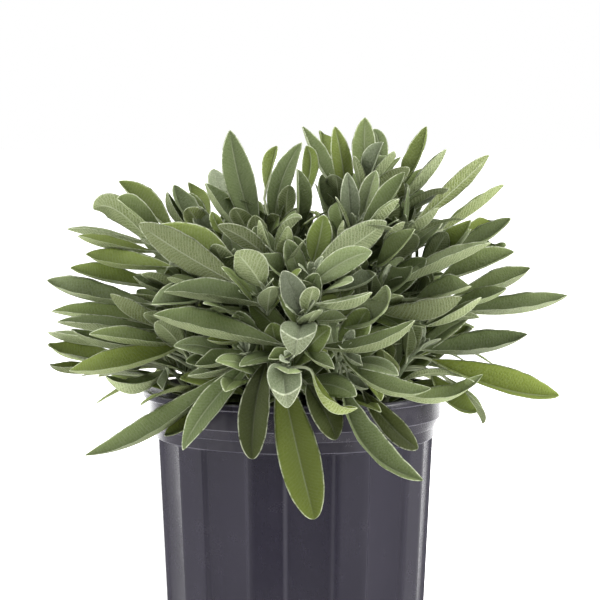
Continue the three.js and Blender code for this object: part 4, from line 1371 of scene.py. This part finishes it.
# Tones that the rule's leaves take by age, from the youngest, and those that the leaves inside the bush draw.
RULE_TONES = (T.SOFT, T.MID, T.DARK, T.OLIVE)
FILL_TONES = (T.DEEP, T.DEEP, T.DARK, T.OLIVE)

# Ways to bend a leaf clear of another: placed leaves by mm toward the eye and up, the others by degrees.
PLACED_BENDS = (
    (0, 0), (6, 0), (-6, 0), (0, 3), (12, 0), (-12, 0), (0, -3), (6, 4), (-6, 4), (18, 0), (-18, 0),
    (12, 5), (-12, 5), (12, -5), (-12, -5), (24, 0), (-24, 0), (20, 6), (-20, 6), (30, 0), (-30, 0),
    (0, 8), (0, -8), (14, 10), (-14, 10), (14, -10), (-14, -10), (0, 14), (0, -14), (26, 12), (-26, 12),
)
RULE_BENDS = (
    (0, 0), (12, 0), (-12, 0), (0, 12), (0, -12), (22, 6), (-22, 6), (0, 24), (0, -24), (22, -12),
    (-22, -12), (36, 0), (-36, 0), (36, 16), (-36, 16), (50, 0), (-50, 0), (12, 34), (-12, 34),
)

# The shares of its bend that the middle and the heel of a placed leaf take.
MIDDLE_BEND = 0.6
HEEL_BEND = 0.15


@dataclass(frozen=True)
class Habit:
    """How the rule's leaves grow: shares of a leaf's length, degrees, and how far its draws spread."""

    stalk: float = 0.16
    droop: float = 0.2
    arch: float = 0.1
    fold: float = 0.2
    inward_length: float = 0.62
    outward_more: float = 0.38
    young_lean: float = 58
    old_lean: float = 22
    place_spread: float = 0.03
    turn_spread: float = 26
    lean_spread: float = 14
    size_spread: float = 0.24


HABIT = Habit()


def placed_leaf(row: Row, stem: Stem, bend: Pair) -> Leaf:
    """A leaf read from the front, bent toward the eye and up.

    Args:
        row: the leaf as read.
        stem: the stem that it grows from.
        bend: how far its tip moves toward the eye and up, in mm.

    Returns:
        The leaf as it stands.
    """

    def moved(point: Triple, share: float) -> Vector:
        """A point of the leaf after its share of the bend."""
        return EYE.seen((point[0], point[1] + bend[1] * share, point[2] + bend[0] * share))

    tip, middle, heel = moved(row.tip, 1.0), moved(row.middle, MIDDLE_BEND), moved(row.heel, HEEL_BEND)
    along = (tip - heel).normalized()
    to_eye = (EYE.place() - middle).normalized()
    facing = (to_eye - along * to_eye.dot(along)).normalized()
    upward = along.cross(facing)
    if upward.z < 0:
        upward.negate()
    turned, fold, width, drop = row.folded()
    middle -= upward * drop
    turn = math.radians(turned)
    normal = facing * math.cos(turn) + upward * math.sin(turn)
    root = stem.root_for(heel)
    return Leaf(tip, middle, heel, root, normal, width, fold, row.tone.value, True, row.skew, row.cup)


def rule_leaf(plan: Plan, stem: Stem, bend: Pair, tone: Triple) -> Leaf:
    """A leaf of a pair by rule, bent round the stem and up from it.

    Args:
        plan: where it grows and how large it is.
        stem: the stem that it grows from.
        bend: degrees round the stem, and up from it.
        tone: its felt, warmth and light.

    Returns:
        The leaf as it stands.
    """
    ahead, base = stem.ahead(plan.at), stem.at(plan.at)
    out = Vector((base.x, base.y, 0)).normalized()
    first = (out - ahead * out.dot(ahead)).normalized()
    second = ahead.cross(first)
    angle = math.radians(plan.angle + bend[0])
    lean = math.radians(plan.lean + bend[1])
    radial = first * math.cos(angle) + second * math.sin(angle)
    along = radial * math.cos(lean) + ahead * math.sin(lean)
    outward = 0.5 + 0.5 * along.dot(out)
    length = plan.length * (HABIT.inward_length + HABIT.outward_more * outward)
    heel = base + along * HABIT.stalk * length
    tip = heel + along * length
    tip.z -= HABIT.droop * length * math.cos(lean)
    middle = heel.lerp(tip, 0.5)
    middle.z += HABIT.arch * length * math.cos(lean)
    normal = ahead * math.cos(lean) - radial * math.sin(lean)
    return Leaf(tip, middle, heel, base, normal, plan.width, HABIT.fold, tone, False)


def plan_pairs(pairs: Sequence[Triple], dice: Dice) -> list[Plan]:
    """The rule's leaves for a stem: pairs, each turned a quarter from the one before it.

    Args:
        pairs: each pair's place along the stem, length and width, from the youngest.
        dice: the dice that vary them.

    Returns:
        The leaves, two for each pair.
    """
    start = 360 * dice.draw()
    plans = []
    for i, (at, length, width) in enumerate(pairs):
        age = i / (len(pairs) - 1)
        for half in (0, 180):
            place = at + dice.spread(HABIT.place_spread)
            angle = start + 90 * i + half + dice.spread(HABIT.turn_spread)
            lean = HABIT.young_lean + age * (HABIT.old_lean - HABIT.young_lean)
            lean += dice.spread(HABIT.lean_spread)
            longer = 1 + dice.spread(HABIT.size_spread)
            wider = 1 + dice.spread(HABIT.size_spread)
            plans.append(Plan(place, angle, lean, length * longer, width * wider))
    return plans


# How much closer the rings of a blade stand toward its tip, as a power.
RING_POWER = 1.4


def blade_template(name: str, halves: int, stalk_steps: int, blade_steps: int) -> bpy.types.Object:
    """A leaf laid out flat, as places on it: x along, -1 to 0 the stalk and 0 to 1 the blade, and y across.

    Args:
        name: the object's name.
        halves: faces from the midrib to an edge.
        stalk_steps: rings of the stalk.
        blade_steps: rings of the blade.

    Returns:
        The object, with its places also kept as attributes.
    """
    across = []
    for k in range(-halves, halves + 1):
        share = k / halves
        across.append(share * (0.5 + 0.5 * abs(share)))
    loop = [(a, 0.0 if abs(a) == 1 else 1.0) for a in across]
    loop += [(a, -1.0) for a in across[-2:0:-1]]
    stations = [-1 + k / stalk_steps for k in range(stalk_steps)]
    stations += [1 - (1 - k / blade_steps) ** RING_POWER for k in range(blade_steps)]
    places = [(-1.0, 0.0, 0.0)] + [(s, a, f) for s in stations for a, f in loop] + [(1.0, 0.0, 0.0)]
    mesh = mesh_of(name, places, ring_faces(len(loop), len(stations), turned=True))
    for part, values in zip(("station", "across", "face"), zip(*places)):
        mesh.attributes.new(part, "FLOAT", "POINT").data.foreach_set("value", values)
    return link_object(name, mesh)


class ShootTree:
    """The geometry tree that grows a leafy shoot on a guide: a stem's path and a point for each leaf."""

    PORTS = (
        Port("Geometry", "NodeSocketGeometry"),
        Port("Fine Blade", "NodeSocketObject"),
        Port("Plain Blade", "NodeSocketObject"),
        Port("Stalk Half Width", "NodeSocketFloat", 0.8 * MM),
        Port("Stalk Half Thickness", "NodeSocketFloat", 0.65 * MM),
        Port("Blade Half Thickness", "NodeSocketFloat", 0.28 * MM),
        Port("Groove Depth", "NodeSocketFloat", 0.45 * MM),
        Port("Ridge Height", "NodeSocketFloat", 0.55 * MM),
        Port("Rib Half Width", "NodeSocketFloat", 0.7 * MM),
        Port("Crinkle Height", "NodeSocketFloat", 0.9 * MM),
        Port("Crinkle Size", "NodeSocketFloat", 7.0 * MM),
        Port("Wave Length", "NodeSocketFloat", 15.0 * MM),
        Port("Leaf Finish", "NodeSocketMaterial"),
        Port("Stem Finish", "NodeSocketMaterial"),
    )
    SQUARE = 1.5
    SQUARE_ROUNDING = 0.35
    STALK_RUN = 0.4
    OUTLINE_INSIDE = (0.0001, 0.9999)
    SCALLOPS_PER_MM = 0.16
    SCALLOP_LEAST = 0.95
    SCALLOP_DEPTH = 0.1
    WAVE_LAG = 1.3
    CRINKLE_FROM = (0.5, 4.0)
    RIB_FROM = (-0.05, 0.12)
    THINNING = 8.0

    def __init__(self) -> None:
        """Builds the tree."""
        self.tree = bpy.data.node_groups.new("Leafy shoot", "GeometryNodeTree")
        inputs = open_tree(self.tree, self.PORTS, [Port("Geometry", "NodeSocketGeometry")])
        self.graph = GrowthGraph(self.tree)
        self.given = {name: Term(self.graph, socket) for name, socket in inputs.items()}
        both = self.graph.node("GeometryNodeJoinGeometry")
        for part in (self.leaves(), self.stem()):
            self.graph.feed(both.inputs[0], part)
        out = self.graph.node("NodeGroupOutput")
        self.graph.feed(out.inputs["Geometry"], Term(self.graph, both.outputs[0]))

    def stem(self) -> Term:
        """The stem: a rounded square swept along the guide's path."""
        graph = self.graph
        path = graph.made("GeometryNodeMeshToCurve", {"Mesh": self.given["Geometry"]})
        size = {"Width": self.SQUARE, "Height": self.SQUARE}
        square = graph.made("GeometryNodeCurvePrimitiveQuadrilateral", size, mode="RECTANGLE")
        corners = {"Curve": square, "Count": 2, "Radius": self.SQUARE_ROUNDING}
        round_square = graph.made("GeometryNodeFilletCurve", corners, mode="POLY")
        inputs = {
            "Curve": path,
            "Profile Curve": round_square,
            "Scale": graph.attribute("stem_radius"),
            "Fill Caps": True,
        }
        swept = graph.made("GeometryNodeCurveToMesh", inputs)
        return graph.coated(swept, self.given["Stem Finish"])

    def instanced(self, port: str, detail: int) -> Term:
        """The leaves that have one level of detail, as templates at their points.

        Args:
            port: the input that gives the template.
            detail: the level of detail.

        Returns:
            The leaves, which are still instances.
        """
        graph = self.graph
        form = graph.made("GeometryNodeObjectInfo", {"Object": self.given[port]}, "Geometry")
        levels = {"A": graph.attribute("detail"), "B": float(detail), "Epsilon": 0.1}
        chosen = graph.made("FunctionNodeCompare", levels, data_type="FLOAT", operation="EQUAL")
        inputs = {"Points": self.given["Geometry"], "Selection": chosen, "Instance": form}
        return graph.made("GeometryNodeInstanceOnPoints", inputs)

    def leaves(self) -> Term:
        """The leaves: each template is shaped by formulas of the leaf's own attributes."""
        graph, given = self.graph, self.given
        both = graph.node("GeometryNodeJoinGeometry")
        for port, detail in (("Fine Blade", 2), ("Plain Blade", 1)):
            graph.feed(both.inputs[0], self.instanced(port, detail))
        real = graph.made("GeometryNodeRealizeInstances", {"Geometry": Term(graph, both.outputs[0])})

        station, across, face = map(graph.attribute, ("station", "across", "face"))
        names = ("root", "heel", "pull", "tip", "normal")
        root, heel, pull, tip, normal = (graph.attribute(name, "FLOAT_VECTOR") for name in names)
        half, fold, curl, twist, sway = map(graph.attribute, ("half_width", "fold", "curl", "twist", "sway"))
        seed, skew, roundness, wave = map(graph.attribute, ("seed", "skew", "roundness", "wave"))

        # The midrib's path and its direction, on the blade and on the stalk.
        t = graph.math("MAXIMUM", station, 0.0)
        rest = 1.0 - t
        centre = heel * (rest * rest) + pull * (2.0 * t * rest) + tip * (t * t)
        ahead = (pull - heel) * rest + (tip - pull) * t
        q = graph.math("MINIMUM", station, 0.0) + 1.0
        left = 1.0 - q
        bend = heel - graph.unit(pull - heel) * (self.STALK_RUN * graph.distance(root, heel))
        stalk_centre = root * (left * left) + bend * (2.0 * q * left) + heel * (q * q)
        stalk_ahead = (bend - root) * left + (heel - bend) * q
        on_stalk = graph.math("LESS_THAN", station, 0.0)
        centre = graph.blend(on_stalk, centre, stalk_centre)
        ahead = graph.unit(graph.blend(on_stalk, ahead, stalk_ahead))

        # The directions across the blade and out of it, twisted toward the tip.
        up = graph.unit(normal - ahead * graph.dot(normal, ahead))
        side = graph.vector("CROSS_PRODUCT", up, ahead)
        turn = twist * t
        cosine, sine = graph.math("COSINE", turn), graph.math("SINE", turn)
        side, up = side * cosine + up * sine, up * cosine - side * sine

        # Half the width, by a rounded outline with shallow scallops, and never under the stalk's.
        length = graph.distance(heel, tip)
        first, final = self.OUTLINE_INSIDE
        inner = graph.math("MINIMUM", graph.math("MAXIMUM", t, first), final)
        swell = graph.math("SINE", graph.math("POWER", inner, skew) * math.pi)
        outline = graph.math("POWER", swell, roundness)
        along_mm = t * length / MM
        edge_place = along_mm * self.SCALLOPS_PER_MM
        edge_spot = graph.whole(edge_place, graph.math("SIGN", across) * 5.0, seed * 60.0)
        scallop = graph.clouds(edge_spot, 1.0, 1.0)
        blade_half = half * outline * (self.SCALLOP_LEAST + scallop * self.SCALLOP_DEPTH)
        stalk_half = given["Stalk Half Width"] * rest
        width = graph.math("SQRT", blade_half * blade_half + stalk_half * stalk_half)
        off = across * width
        out = graph.math("ABSOLUTE", across)
        near_edge = out * out

        # How far the blade's middle layer rises: fold, curl, waves at the edge and small crinkles.
        lift = (fold * out - curl * near_edge * out) * width
        beat = along_mm * MM / given["Wave Length"] * (2 * math.pi) + seed * 50.0 + across * self.WAVE_LAG
        ripple = graph.math("SINE", beat) * wave * near_edge * width
        spot = graph.whole(along_mm * MM, off, seed) / given["Crinkle Size"]
        crinkle = (graph.clouds(spot, 1.0, 2.0) - 0.5) * given["Crinkle Height"]
        crinkle = crinkle * graph.step(width / MM, *self.CRINKLE_FROM) * (out * (1.0 - out) * 4.0)

        # The midrib's groove above and ridge below, and the thickness.
        ratio = off / given["Rib Half Width"]
        hump = graph.math("EXPONENT", ratio * ratio * -1.0) * rest * graph.step(station, *self.RIB_FROM)
        above = graph.math("GREATER_THAN", face, 0.0)
        depth = graph.blend(above, given["Ridge Height"], given["Groove Depth"])
        sunk = depth * hump * graph.math("ABSOLUTE", face)
        near_stalk = graph.math("POWER", rest, self.THINNING)
        thick = graph.blend(near_stalk, given["Blade Half Thickness"], given["Stalk Half Thickness"])
        body = face * thick * graph.math("SQRT", 1.0 - near_edge)
        swing = side * (sway * length * (4.0 * t * rest))
        place = centre + swing + side * off + up * (lift + ripple + crinkle + body - sunk)

        uv = graph.whole(along_mm * MM * UV_PER_METRE, graph.attribute("blade_off") * UV_PER_METRE, 0.0)
        shape = graph.stored(self.measured(real, place, off, t, width, out), "UVMap", uv, "FLOAT2", "CORNER")
        return graph.coated(shape, given["Leaf Finish"])

    def measured(self, real: Term, place: Term, off: Term, share: Term, width: Term, out: Term) -> Term:
        """The leaves in their places, with what the finish reads kept on them.

        Args:
            real: the templates.
            place: where each corner goes.
            off: how far it is from the midrib, in metres.
            share: its share of the blade's length.
            width: half the blade's width there.
            out: its share of that half width.

        Returns:
            The leaves.
        """
        graph = self.graph
        kept = graph.stored(real, "blade_off", off)
        kept = graph.stored(kept, "blade_at", share)
        kept = graph.stored(kept, "edge_gap", width * (1.0 - out) / MM)
        kept = graph.stored(kept, "new_place", place, "FLOAT_VECTOR")
        new_place = graph.attribute("new_place", "FLOAT_VECTOR")
        return graph.made("GeometryNodeSetPosition", {"Geometry": kept, "Position": new_place})


@dataclass
class Foliage:
    """All leafy shoots of the plant. Sizes in mm."""

    seed: int = 20110
    look_seed: int = 4177
    match_gap: float = 0.3
    fill_reach: float = 100
    fill_reach_low: float = 74
    fill_reach_side: float = 92
    fill_front: float = -48
    fill_over: float = 190
    fill_clear: float = 177
    stem_steps: int = 14
    back_foot: float = 0.5
    back_turn_spread: float = 5
    back_rise_spread: float = 0.12
    tip_pairs: tuple[Triple, ...] = ((0.985, 15, 6), (1.0, 9, 4))
    tip_lean: float = 62
    tip_lean_more: float = 12
    tip_lean_spread: float = 10
    tip_turn_spread: float = 20

    def stems(self, dice: Dice) -> dict[str, Stem]:
        """Every stem, the front ones first.

        Args:
            dice: the dice that vary the stems at the back.

        Returns:
            The stems, by their shoots' names.
        """
        stems = {}
        for name, shoot in FRONT_SHOOTS.items():
            foot = Vector((shoot.foot[0], -shoot.foot[1], 0))
            stems[name] = Stem(foot, EYE.seen(shoot.tip))
        for label, (up, radius, bearings) in BACK_RINGS.items():
            for i, bearing in enumerate(bearings):
                angle = math.radians(bearing + dice.spread(self.back_turn_spread))
                height = Pot.height + up * (1 + dice.spread(self.back_rise_spread))
                tip = Vector((radius * math.cos(angle), radius * math.sin(angle), height))
                stems[f"back_{label}_{i + 1}"] = Stem(tip * self.back_foot, tip)
        return stems

    def corners_of(self, name: str) -> KDTree:
        """The corners of a shoot's CAD node, in mm, to look leaves up in."""
        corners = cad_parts[f"shoot_{name}"].data.vertices
        tree = KDTree(len(corners))
        for i, corner in enumerate(corners):
            tree.insert(corner.co / MM, i)
        tree.balance()
        return tree

    def standing(self, leaves: Iterable[Leaf], corners: KDTree) -> Leaf | None:
        """The first of some ways to bend a leaf that has its tip on the CAD node, if there is one."""
        for leaf in leaves:
            if corners.find(leaf.tip)[2] < self.match_gap:
                return leaf
        return None

    def leaves(self) -> dict[str, tuple[Stem, list[Leaf]]]:
        """Every shoot's stem and leaves."""
        dice, look = Dice(self.seed), Dice(self.look_seed)
        stems = self.stems(dice)
        shoots = {}
        for name, stem in stems.items():
            corners = self.corners_of(name)
            rows = FRONT_SHOOTS[name].rows if name in FRONT_SHOOTS else ()
            found = []
            for row in rows:
                ways = (placed_leaf(row, stem, bend) for bend in PLACED_BENDS)
                found.append(self.standing(ways, corners))
            pairs = INNER_PAIRS if rows else BACK_PAIRS
            for i, plan in enumerate(plan_pairs(pairs, dice)):
                tone = self.rule_tone(i // 2 / (len(pairs) - 1), look)
                ways = (rule_leaf(plan, stem, bend, tone) for bend in RULE_BENDS)
                found.append(self.standing(ways, corners))
            found = [leaf for leaf in found if leaf is not None]
            found += self.tip_leaves(stem, look)
            plans = plan_pairs(FILL_PAIRS, look)
            if name.startswith(HIGH_FILLED):
                plans += plan_pairs(HIGH_FILL_PAIRS, look)
            fill = [rule_leaf(plan, stem, (0, 0), self.fill_tone(look)) for plan in plans]
            found += [leaf for leaf in fill if self.inside(leaf)]
            shoots[name] = (stem, found)
        return shoots

    def inside(self, leaf: Leaf) -> bool:
        """Says whether a fill leaf stays inside the bush."""
        reach = math.hypot(leaf.tip.x, leaf.tip.y)
        if leaf.tip.z > self.fill_over:
            return reach < self.fill_reach
        low = leaf.tip.y < self.fill_front or leaf.tip.z < self.fill_clear
        return reach < (self.fill_reach_low if low else self.fill_reach_side)

    def rule_tone(self, age: float, look: Dice) -> Triple:
        """A tone for a leaf of the rule, by its age and a draw."""
        oldest = len(RULE_TONES) - 1
        return RULE_TONES[min(oldest, int(age * oldest + look.draw() * 1.3))].value

    def fill_tone(self, look: Dice) -> Triple:
        """A tone for a fill leaf: mostly deep, by a draw."""
        return FILL_TONES[int(len(FILL_TONES) * look.draw())].value

    def tip_leaves(self, stem: Stem, look: Dice) -> list[Leaf]:
        """The young pairs that stand close about a stem's end.

        Args:
            stem: the stem.
            look: the dice that vary them.

        Returns:
            The leaves.
        """
        made = []
        start = 360 * look.draw()
        for i, (at, length, width) in enumerate(self.tip_pairs):
            for half in (0, 180):
                lean = self.tip_lean + self.tip_lean_more * i + look.spread(self.tip_lean_spread)
                angle = start + 90 * i + half + look.spread(self.tip_turn_spread)
                plan = Plan(at, angle, lean, length, width)
                made.append(rule_leaf(plan, stem, (0, 0), Tone.YOUNG.value))
        return made

    def guide(self, name: str, stem: Stem, leaves: Sequence[Leaf], look: Dice) -> bpy.types.Object:
        """A shoot's guide: the stem's path, and a point for each leaf with all that shapes it.

        Args:
            name: the piece's name.
            stem: the shoot's stem.
            leaves: its leaves.
            look: the dice that vary them.

        Returns:
            The object that the shoot grows on.
        """
        path = [stem.at(0) - Vector((0, 0, stem.DEPTH))]
        path += [stem.at(k / self.stem_steps) for k in range(self.stem_steps + 1)]
        radii = [stem.radius(0)] + [stem.radius(k / self.stem_steps) for k in range(self.stem_steps + 1)]
        points = path + [leaf.heel for leaf in leaves]
        edges = [(k, k + 1) for k in range(len(path) - 1)]
        mesh = mesh_of(name, [MM * p for p in points], (), edges)
        spare = [0.0] * len(path)
        numbers = {"stem_radius": [MM * r for r in radii] + [0.0] * len(leaves)}
        for key, make in self.traits(look).items():
            numbers[key] = spare + [make(leaf) for leaf in leaves]
        for key, values in numbers.items():
            mesh.attributes.new(key, "FLOAT", "POINT").data.foreach_set("value", values)
        vectors = {
            "root": lambda leaf: MM * leaf.root,
            "heel": lambda leaf: MM * leaf.heel,
            "pull": lambda leaf: MM * (2 * leaf.middle - 0.5 * leaf.heel - 0.5 * leaf.tip),
            "tip": lambda leaf: MM * leaf.tip,
            "normal": lambda leaf: leaf.normal,
        }
        for key, make in vectors.items():
            flat = [0.0] * (3 * len(path))
            for leaf in leaves:
                flat.extend(make(leaf))
            mesh.attributes.new(key, "FLOAT_VECTOR", "POINT").data.foreach_set("vector", flat)
        return link_object(name, mesh)

    def traits(self, look: Dice) -> dict[str, Callable[[Leaf], float]]:
        """What shapes and colours a leaf.

        Args:
            look: the dice that vary the leaves.

        Returns:
            Functions of the leaf, by the attribute's name.
        """
        return {
            "detail": lambda leaf: 2.0 if leaf.placed else 1.0,
            "half_width": lambda leaf: MM * leaf.width / 2,
            "fold": lambda leaf: leaf.fold,
            "curl": lambda leaf: 0.12 + look.spread(0.2),
            "twist": lambda leaf: look.spread(0.3 if leaf.placed else 0.5),
            "sway": lambda leaf: look.spread(0.05),
            "seed": lambda leaf: look.draw(),
            "cup": lambda leaf: leaf.cup,
            "skew": lambda leaf: leaf.skew + look.spread(0.14),
            "roundness": lambda leaf: leaf.roundness() + look.spread(0.08),
            "wave": lambda leaf: 0.02 + look.spread(0.03),
            "felt": lambda leaf: leaf.tone[0] * (1 + look.spread(0.3)),
            "warmth": lambda leaf: min(1.0, max(0.0, leaf.tone[1] + look.spread(0.16))),
            # The lightness is partly the leaf's own tone and partly painted light and shade for where it
            # stands.
            "light": lambda leaf: leaf.tone[2] * (1 + look.spread(0.14)),
        }

    def build(self, effects: Effects) -> None:
        """Grows every shoot and lets it stand for its CAD node.

        Args:
            effects: the shared effects.
        """
        tree = ShootTree().tree
        fine = blade_template("fine_form", 8, 4, 34)
        plain = blade_template("plain_form", 4, 3, 18)
        settings = {
            "Fine Blade": fine,
            "Plain Blade": plain,
            "Leaf Finish": LeafFinish().material(effects),
            "Stem Finish": StemFinish().material(effects),
        }
        look = Dice(self.look_seed + 1)
        for name, (stem, leaves) in self.leaves().items():
            piece = self.guide(f"sage_{name}", stem, leaves, look)
            grow(piece, tree, settings)
            declare(piece, "sage_leaf", f"shoot_{name}")
        for form in (fine, plain):
            bpy.data.objects.remove(form)


# Studio.

WHITE = (1.0, 1.0, 1.0)


@dataclass(frozen=True)
class Softbox:
    """A flat soft light: its place, aim, size and power, and whether it shows in reflections only."""

    name: str
    place: Triple
    aim: Triple
    width: float
    height: float
    power: float
    only_mirrored: bool = False


@dataclass
class Studio:
    """Pale floor, white surround, soft lights and the camera. Metres."""

    floor_size: float = 40.0
    floor_pale: Triple = (0.86, 0.86, 0.86)
    floor_spots: Triple = (0.80, 0.80, 0.80)
    floor_mirrored: Triple = (0.10, 0.10, 0.10)
    floor_glow: Pair = (0.38, 1.10)
    shown_glow: float = 0.88
    surround: Pair = (0.42, 1.30)
    floor_turn: Pair = (-0.6, 0.1)
    surround_turn: Pair = (-0.8, 0.1)
    mirrored: float = 0.16
    floor_shine: float = 1.5
    near_shine: float = 0.5
    near: Pair = (0.30, 0.17)
    floor_ramp: tuple[Pair, ...] = (
        (0.0, 0.05),
        (0.07, 0.06),
        (0.12, 0.42),
        (0.25, 0.40),
        (0.45, 0.34),
        (0.60, 0.22),
        (0.85, 0.24),
        (0.89, 1.1),
        (1.0, 1.6),
    )
    lens: float = 138.2
    sensor: float = 36.0
    aim_height: float = 219.05
    boxes: tuple[Softbox, ...] = (
        Softbox("top_box", (-0.2, 0.1, 2.0), (0, 0, 0.2), 1.6, 1.6, 29.0),
        Softbox("strip", (0, -1.1, 1.7), (0, 0, 0.15), 2.6, 0.4, 26.0, True),
        Softbox("left_box", (-2.2, -0.7, 0.8), (0, 0, 0.22), 1.2, 1.6, 46.0),
        Softbox("right_box", (2.1, -0.7, 0.8), (0, 0, 0.22), 1.1, 1.6, 54.0),
        Softbox("back_wall", (0, 3.0, 0.6), (0, 0, 0.4), 5.0, 2.6, 90.0, True),
    )

    def floor(self) -> None:
        """The floor, so pale that it shows white."""
        half = self.floor_size / 2
        corners = [(x, y, 0) for x, y in ((-half, -half), (half, -half), (half, half), (-half, half))]
        mesh = mesh_of("floor", corners, [(0, 1, 2, 3)])
        material = bpy.data.materials.new("pale_floor")
        material.use_nodes = True
        graph = Graph(material.node_tree)
        skin = material.node_tree.nodes["Principled BSDF"]
        spots = graph.clouds(graph.place(), 3.0) * 0.1
        pale = graph.tint(spots, self.floor_pale, self.floor_spots)
        mirrored = graph.ray("Is Glossy Ray")
        graph.feed(skin.inputs["Base Color"], graph.tint(mirrored, pale, self.floor_mirrored))
        graph.feed(skin.inputs["Roughness"], 0.9)
        graph.feed(skin.inputs["Emission Color"], WHITE)
        glow = self.toward_back(graph, self.floor_turn, self.floor_glow)
        glow = graph.blend(mirrored, glow, self.mirrored_floor(graph))
        shown = graph.blend(graph.ray("Is Camera Ray"), glow, self.shown_glow)
        graph.feed(skin.inputs["Emission Strength"], shown)
        mesh.materials.append(material)
        link_object("floor", mesh)

    def toward_back(self, graph: Graph, turn: Pair, glow: Pair) -> Term:
        """A brightness that grows toward the back.

        Args:
            graph: the tree that it is for.
            turn: where it starts and stops to grow.
            glow: its value in front and behind.

        Returns:
            The brightness.
        """
        return graph.blend(graph.step(graph.parts(graph.place())[1], *turn), *glow)

    def mirrored_floor(self, graph: Graph) -> Term:
        """How bright the floor is in reflections, by its bearing: dark in front, bright behind.

        Args:
            graph: the floor's tree.

        Returns:
            The brightness.
        """
        x, y, _ = graph.parts(graph.place())
        reach = graph.math("SQRT", x * x + y * y)
        behind = y / reach
        ramp = graph.node("ShaderNodeValToRGB")
        stops = ramp.color_ramp.elements
        for place, _ in self.floor_ramp[1:-1]:
            stops.new(place)
        for stop, (_, shade) in zip(stops, self.floor_ramp):
            stop.color = (shade, shade, shade, 1.0)
        graph.feed(ramp.inputs["Fac"], behind * 0.5 + 0.5)
        far = Term(graph, ramp.outputs["Color"]) * self.floor_shine
        near = (self.near_shine, self.near_shine, self.near_shine)
        return graph.parts(graph.blend(graph.step(reach, *self.near), far, near))[0]

    def lights(self) -> None:
        """The white surround and the soft lights."""
        world = bpy.data.worlds.new("surround")
        world.use_nodes = True
        graph = Graph(world.node_tree)
        glow = self.toward_back(graph, self.surround_turn, self.surround)
        glow = graph.blend(graph.ray("Is Glossy Ray"), glow, self.mirrored)
        background = world.node_tree.nodes["Background"]
        graph.feed(background.inputs["Color"], WHITE)
        graph.feed(background.inputs["Strength"], graph.blend(graph.ray("Is Camera Ray"), glow, 1.0))
        bpy.context.scene.world = world
        for box in self.boxes:
            lamp = bpy.data.lights.new(box.name, "AREA")
            lamp.shape = "RECTANGLE"
            lamp.size, lamp.size_y, lamp.energy = box.width, box.height, box.power
            holder = bpy.data.objects.new(box.name, lamp)
            holder.location = box.place
            holder.rotation_euler = (Vector(box.aim) - Vector(box.place)).to_track_quat("-Z", "Y").to_euler()
            holder.visible_camera = False
            holder.visible_diffuse = not box.only_mirrored
            bpy.context.scene.collection.objects.link(holder)

    def camera(self) -> None:
        """The camera, at the eye that the leaves were read from."""
        lens = bpy.data.cameras.new("camera")
        lens.lens, lens.sensor_width = self.lens, self.sensor
        lens.clip_start, lens.clip_end = 0.05, 100.0
        holder = bpy.data.objects.new("camera", lens)
        place = MM * EYE.place()
        aim = Vector((place.x, 0, MM * self.aim_height))
        holder.location = place
        holder.rotation_euler = (aim - place).to_track_quat("-Z", "Y").to_euler()
        bpy.context.scene.collection.objects.link(holder)
        bpy.context.scene.camera = holder

    def build(self) -> None:
        """Sets up the picture."""
        self.floor()
        self.lights()
        self.camera()
        bpy.context.scene.view_settings.view_transform = "Standard"


def main() -> None:
    """Builds the pot, the soil, the foliage and the studio in order."""
    logging.basicConfig(level=logging.INFO, format="%(name)s: %(message)s")
    effects = Effects()
    pot = Pot()
    pot.build(effects)
    soil = PottingSoil(pot)
    soil.build(effects)
    soil.strew(effects)
    Foliage().build(effects)
    Studio().build()


if __name__ == "__main__":
    main()
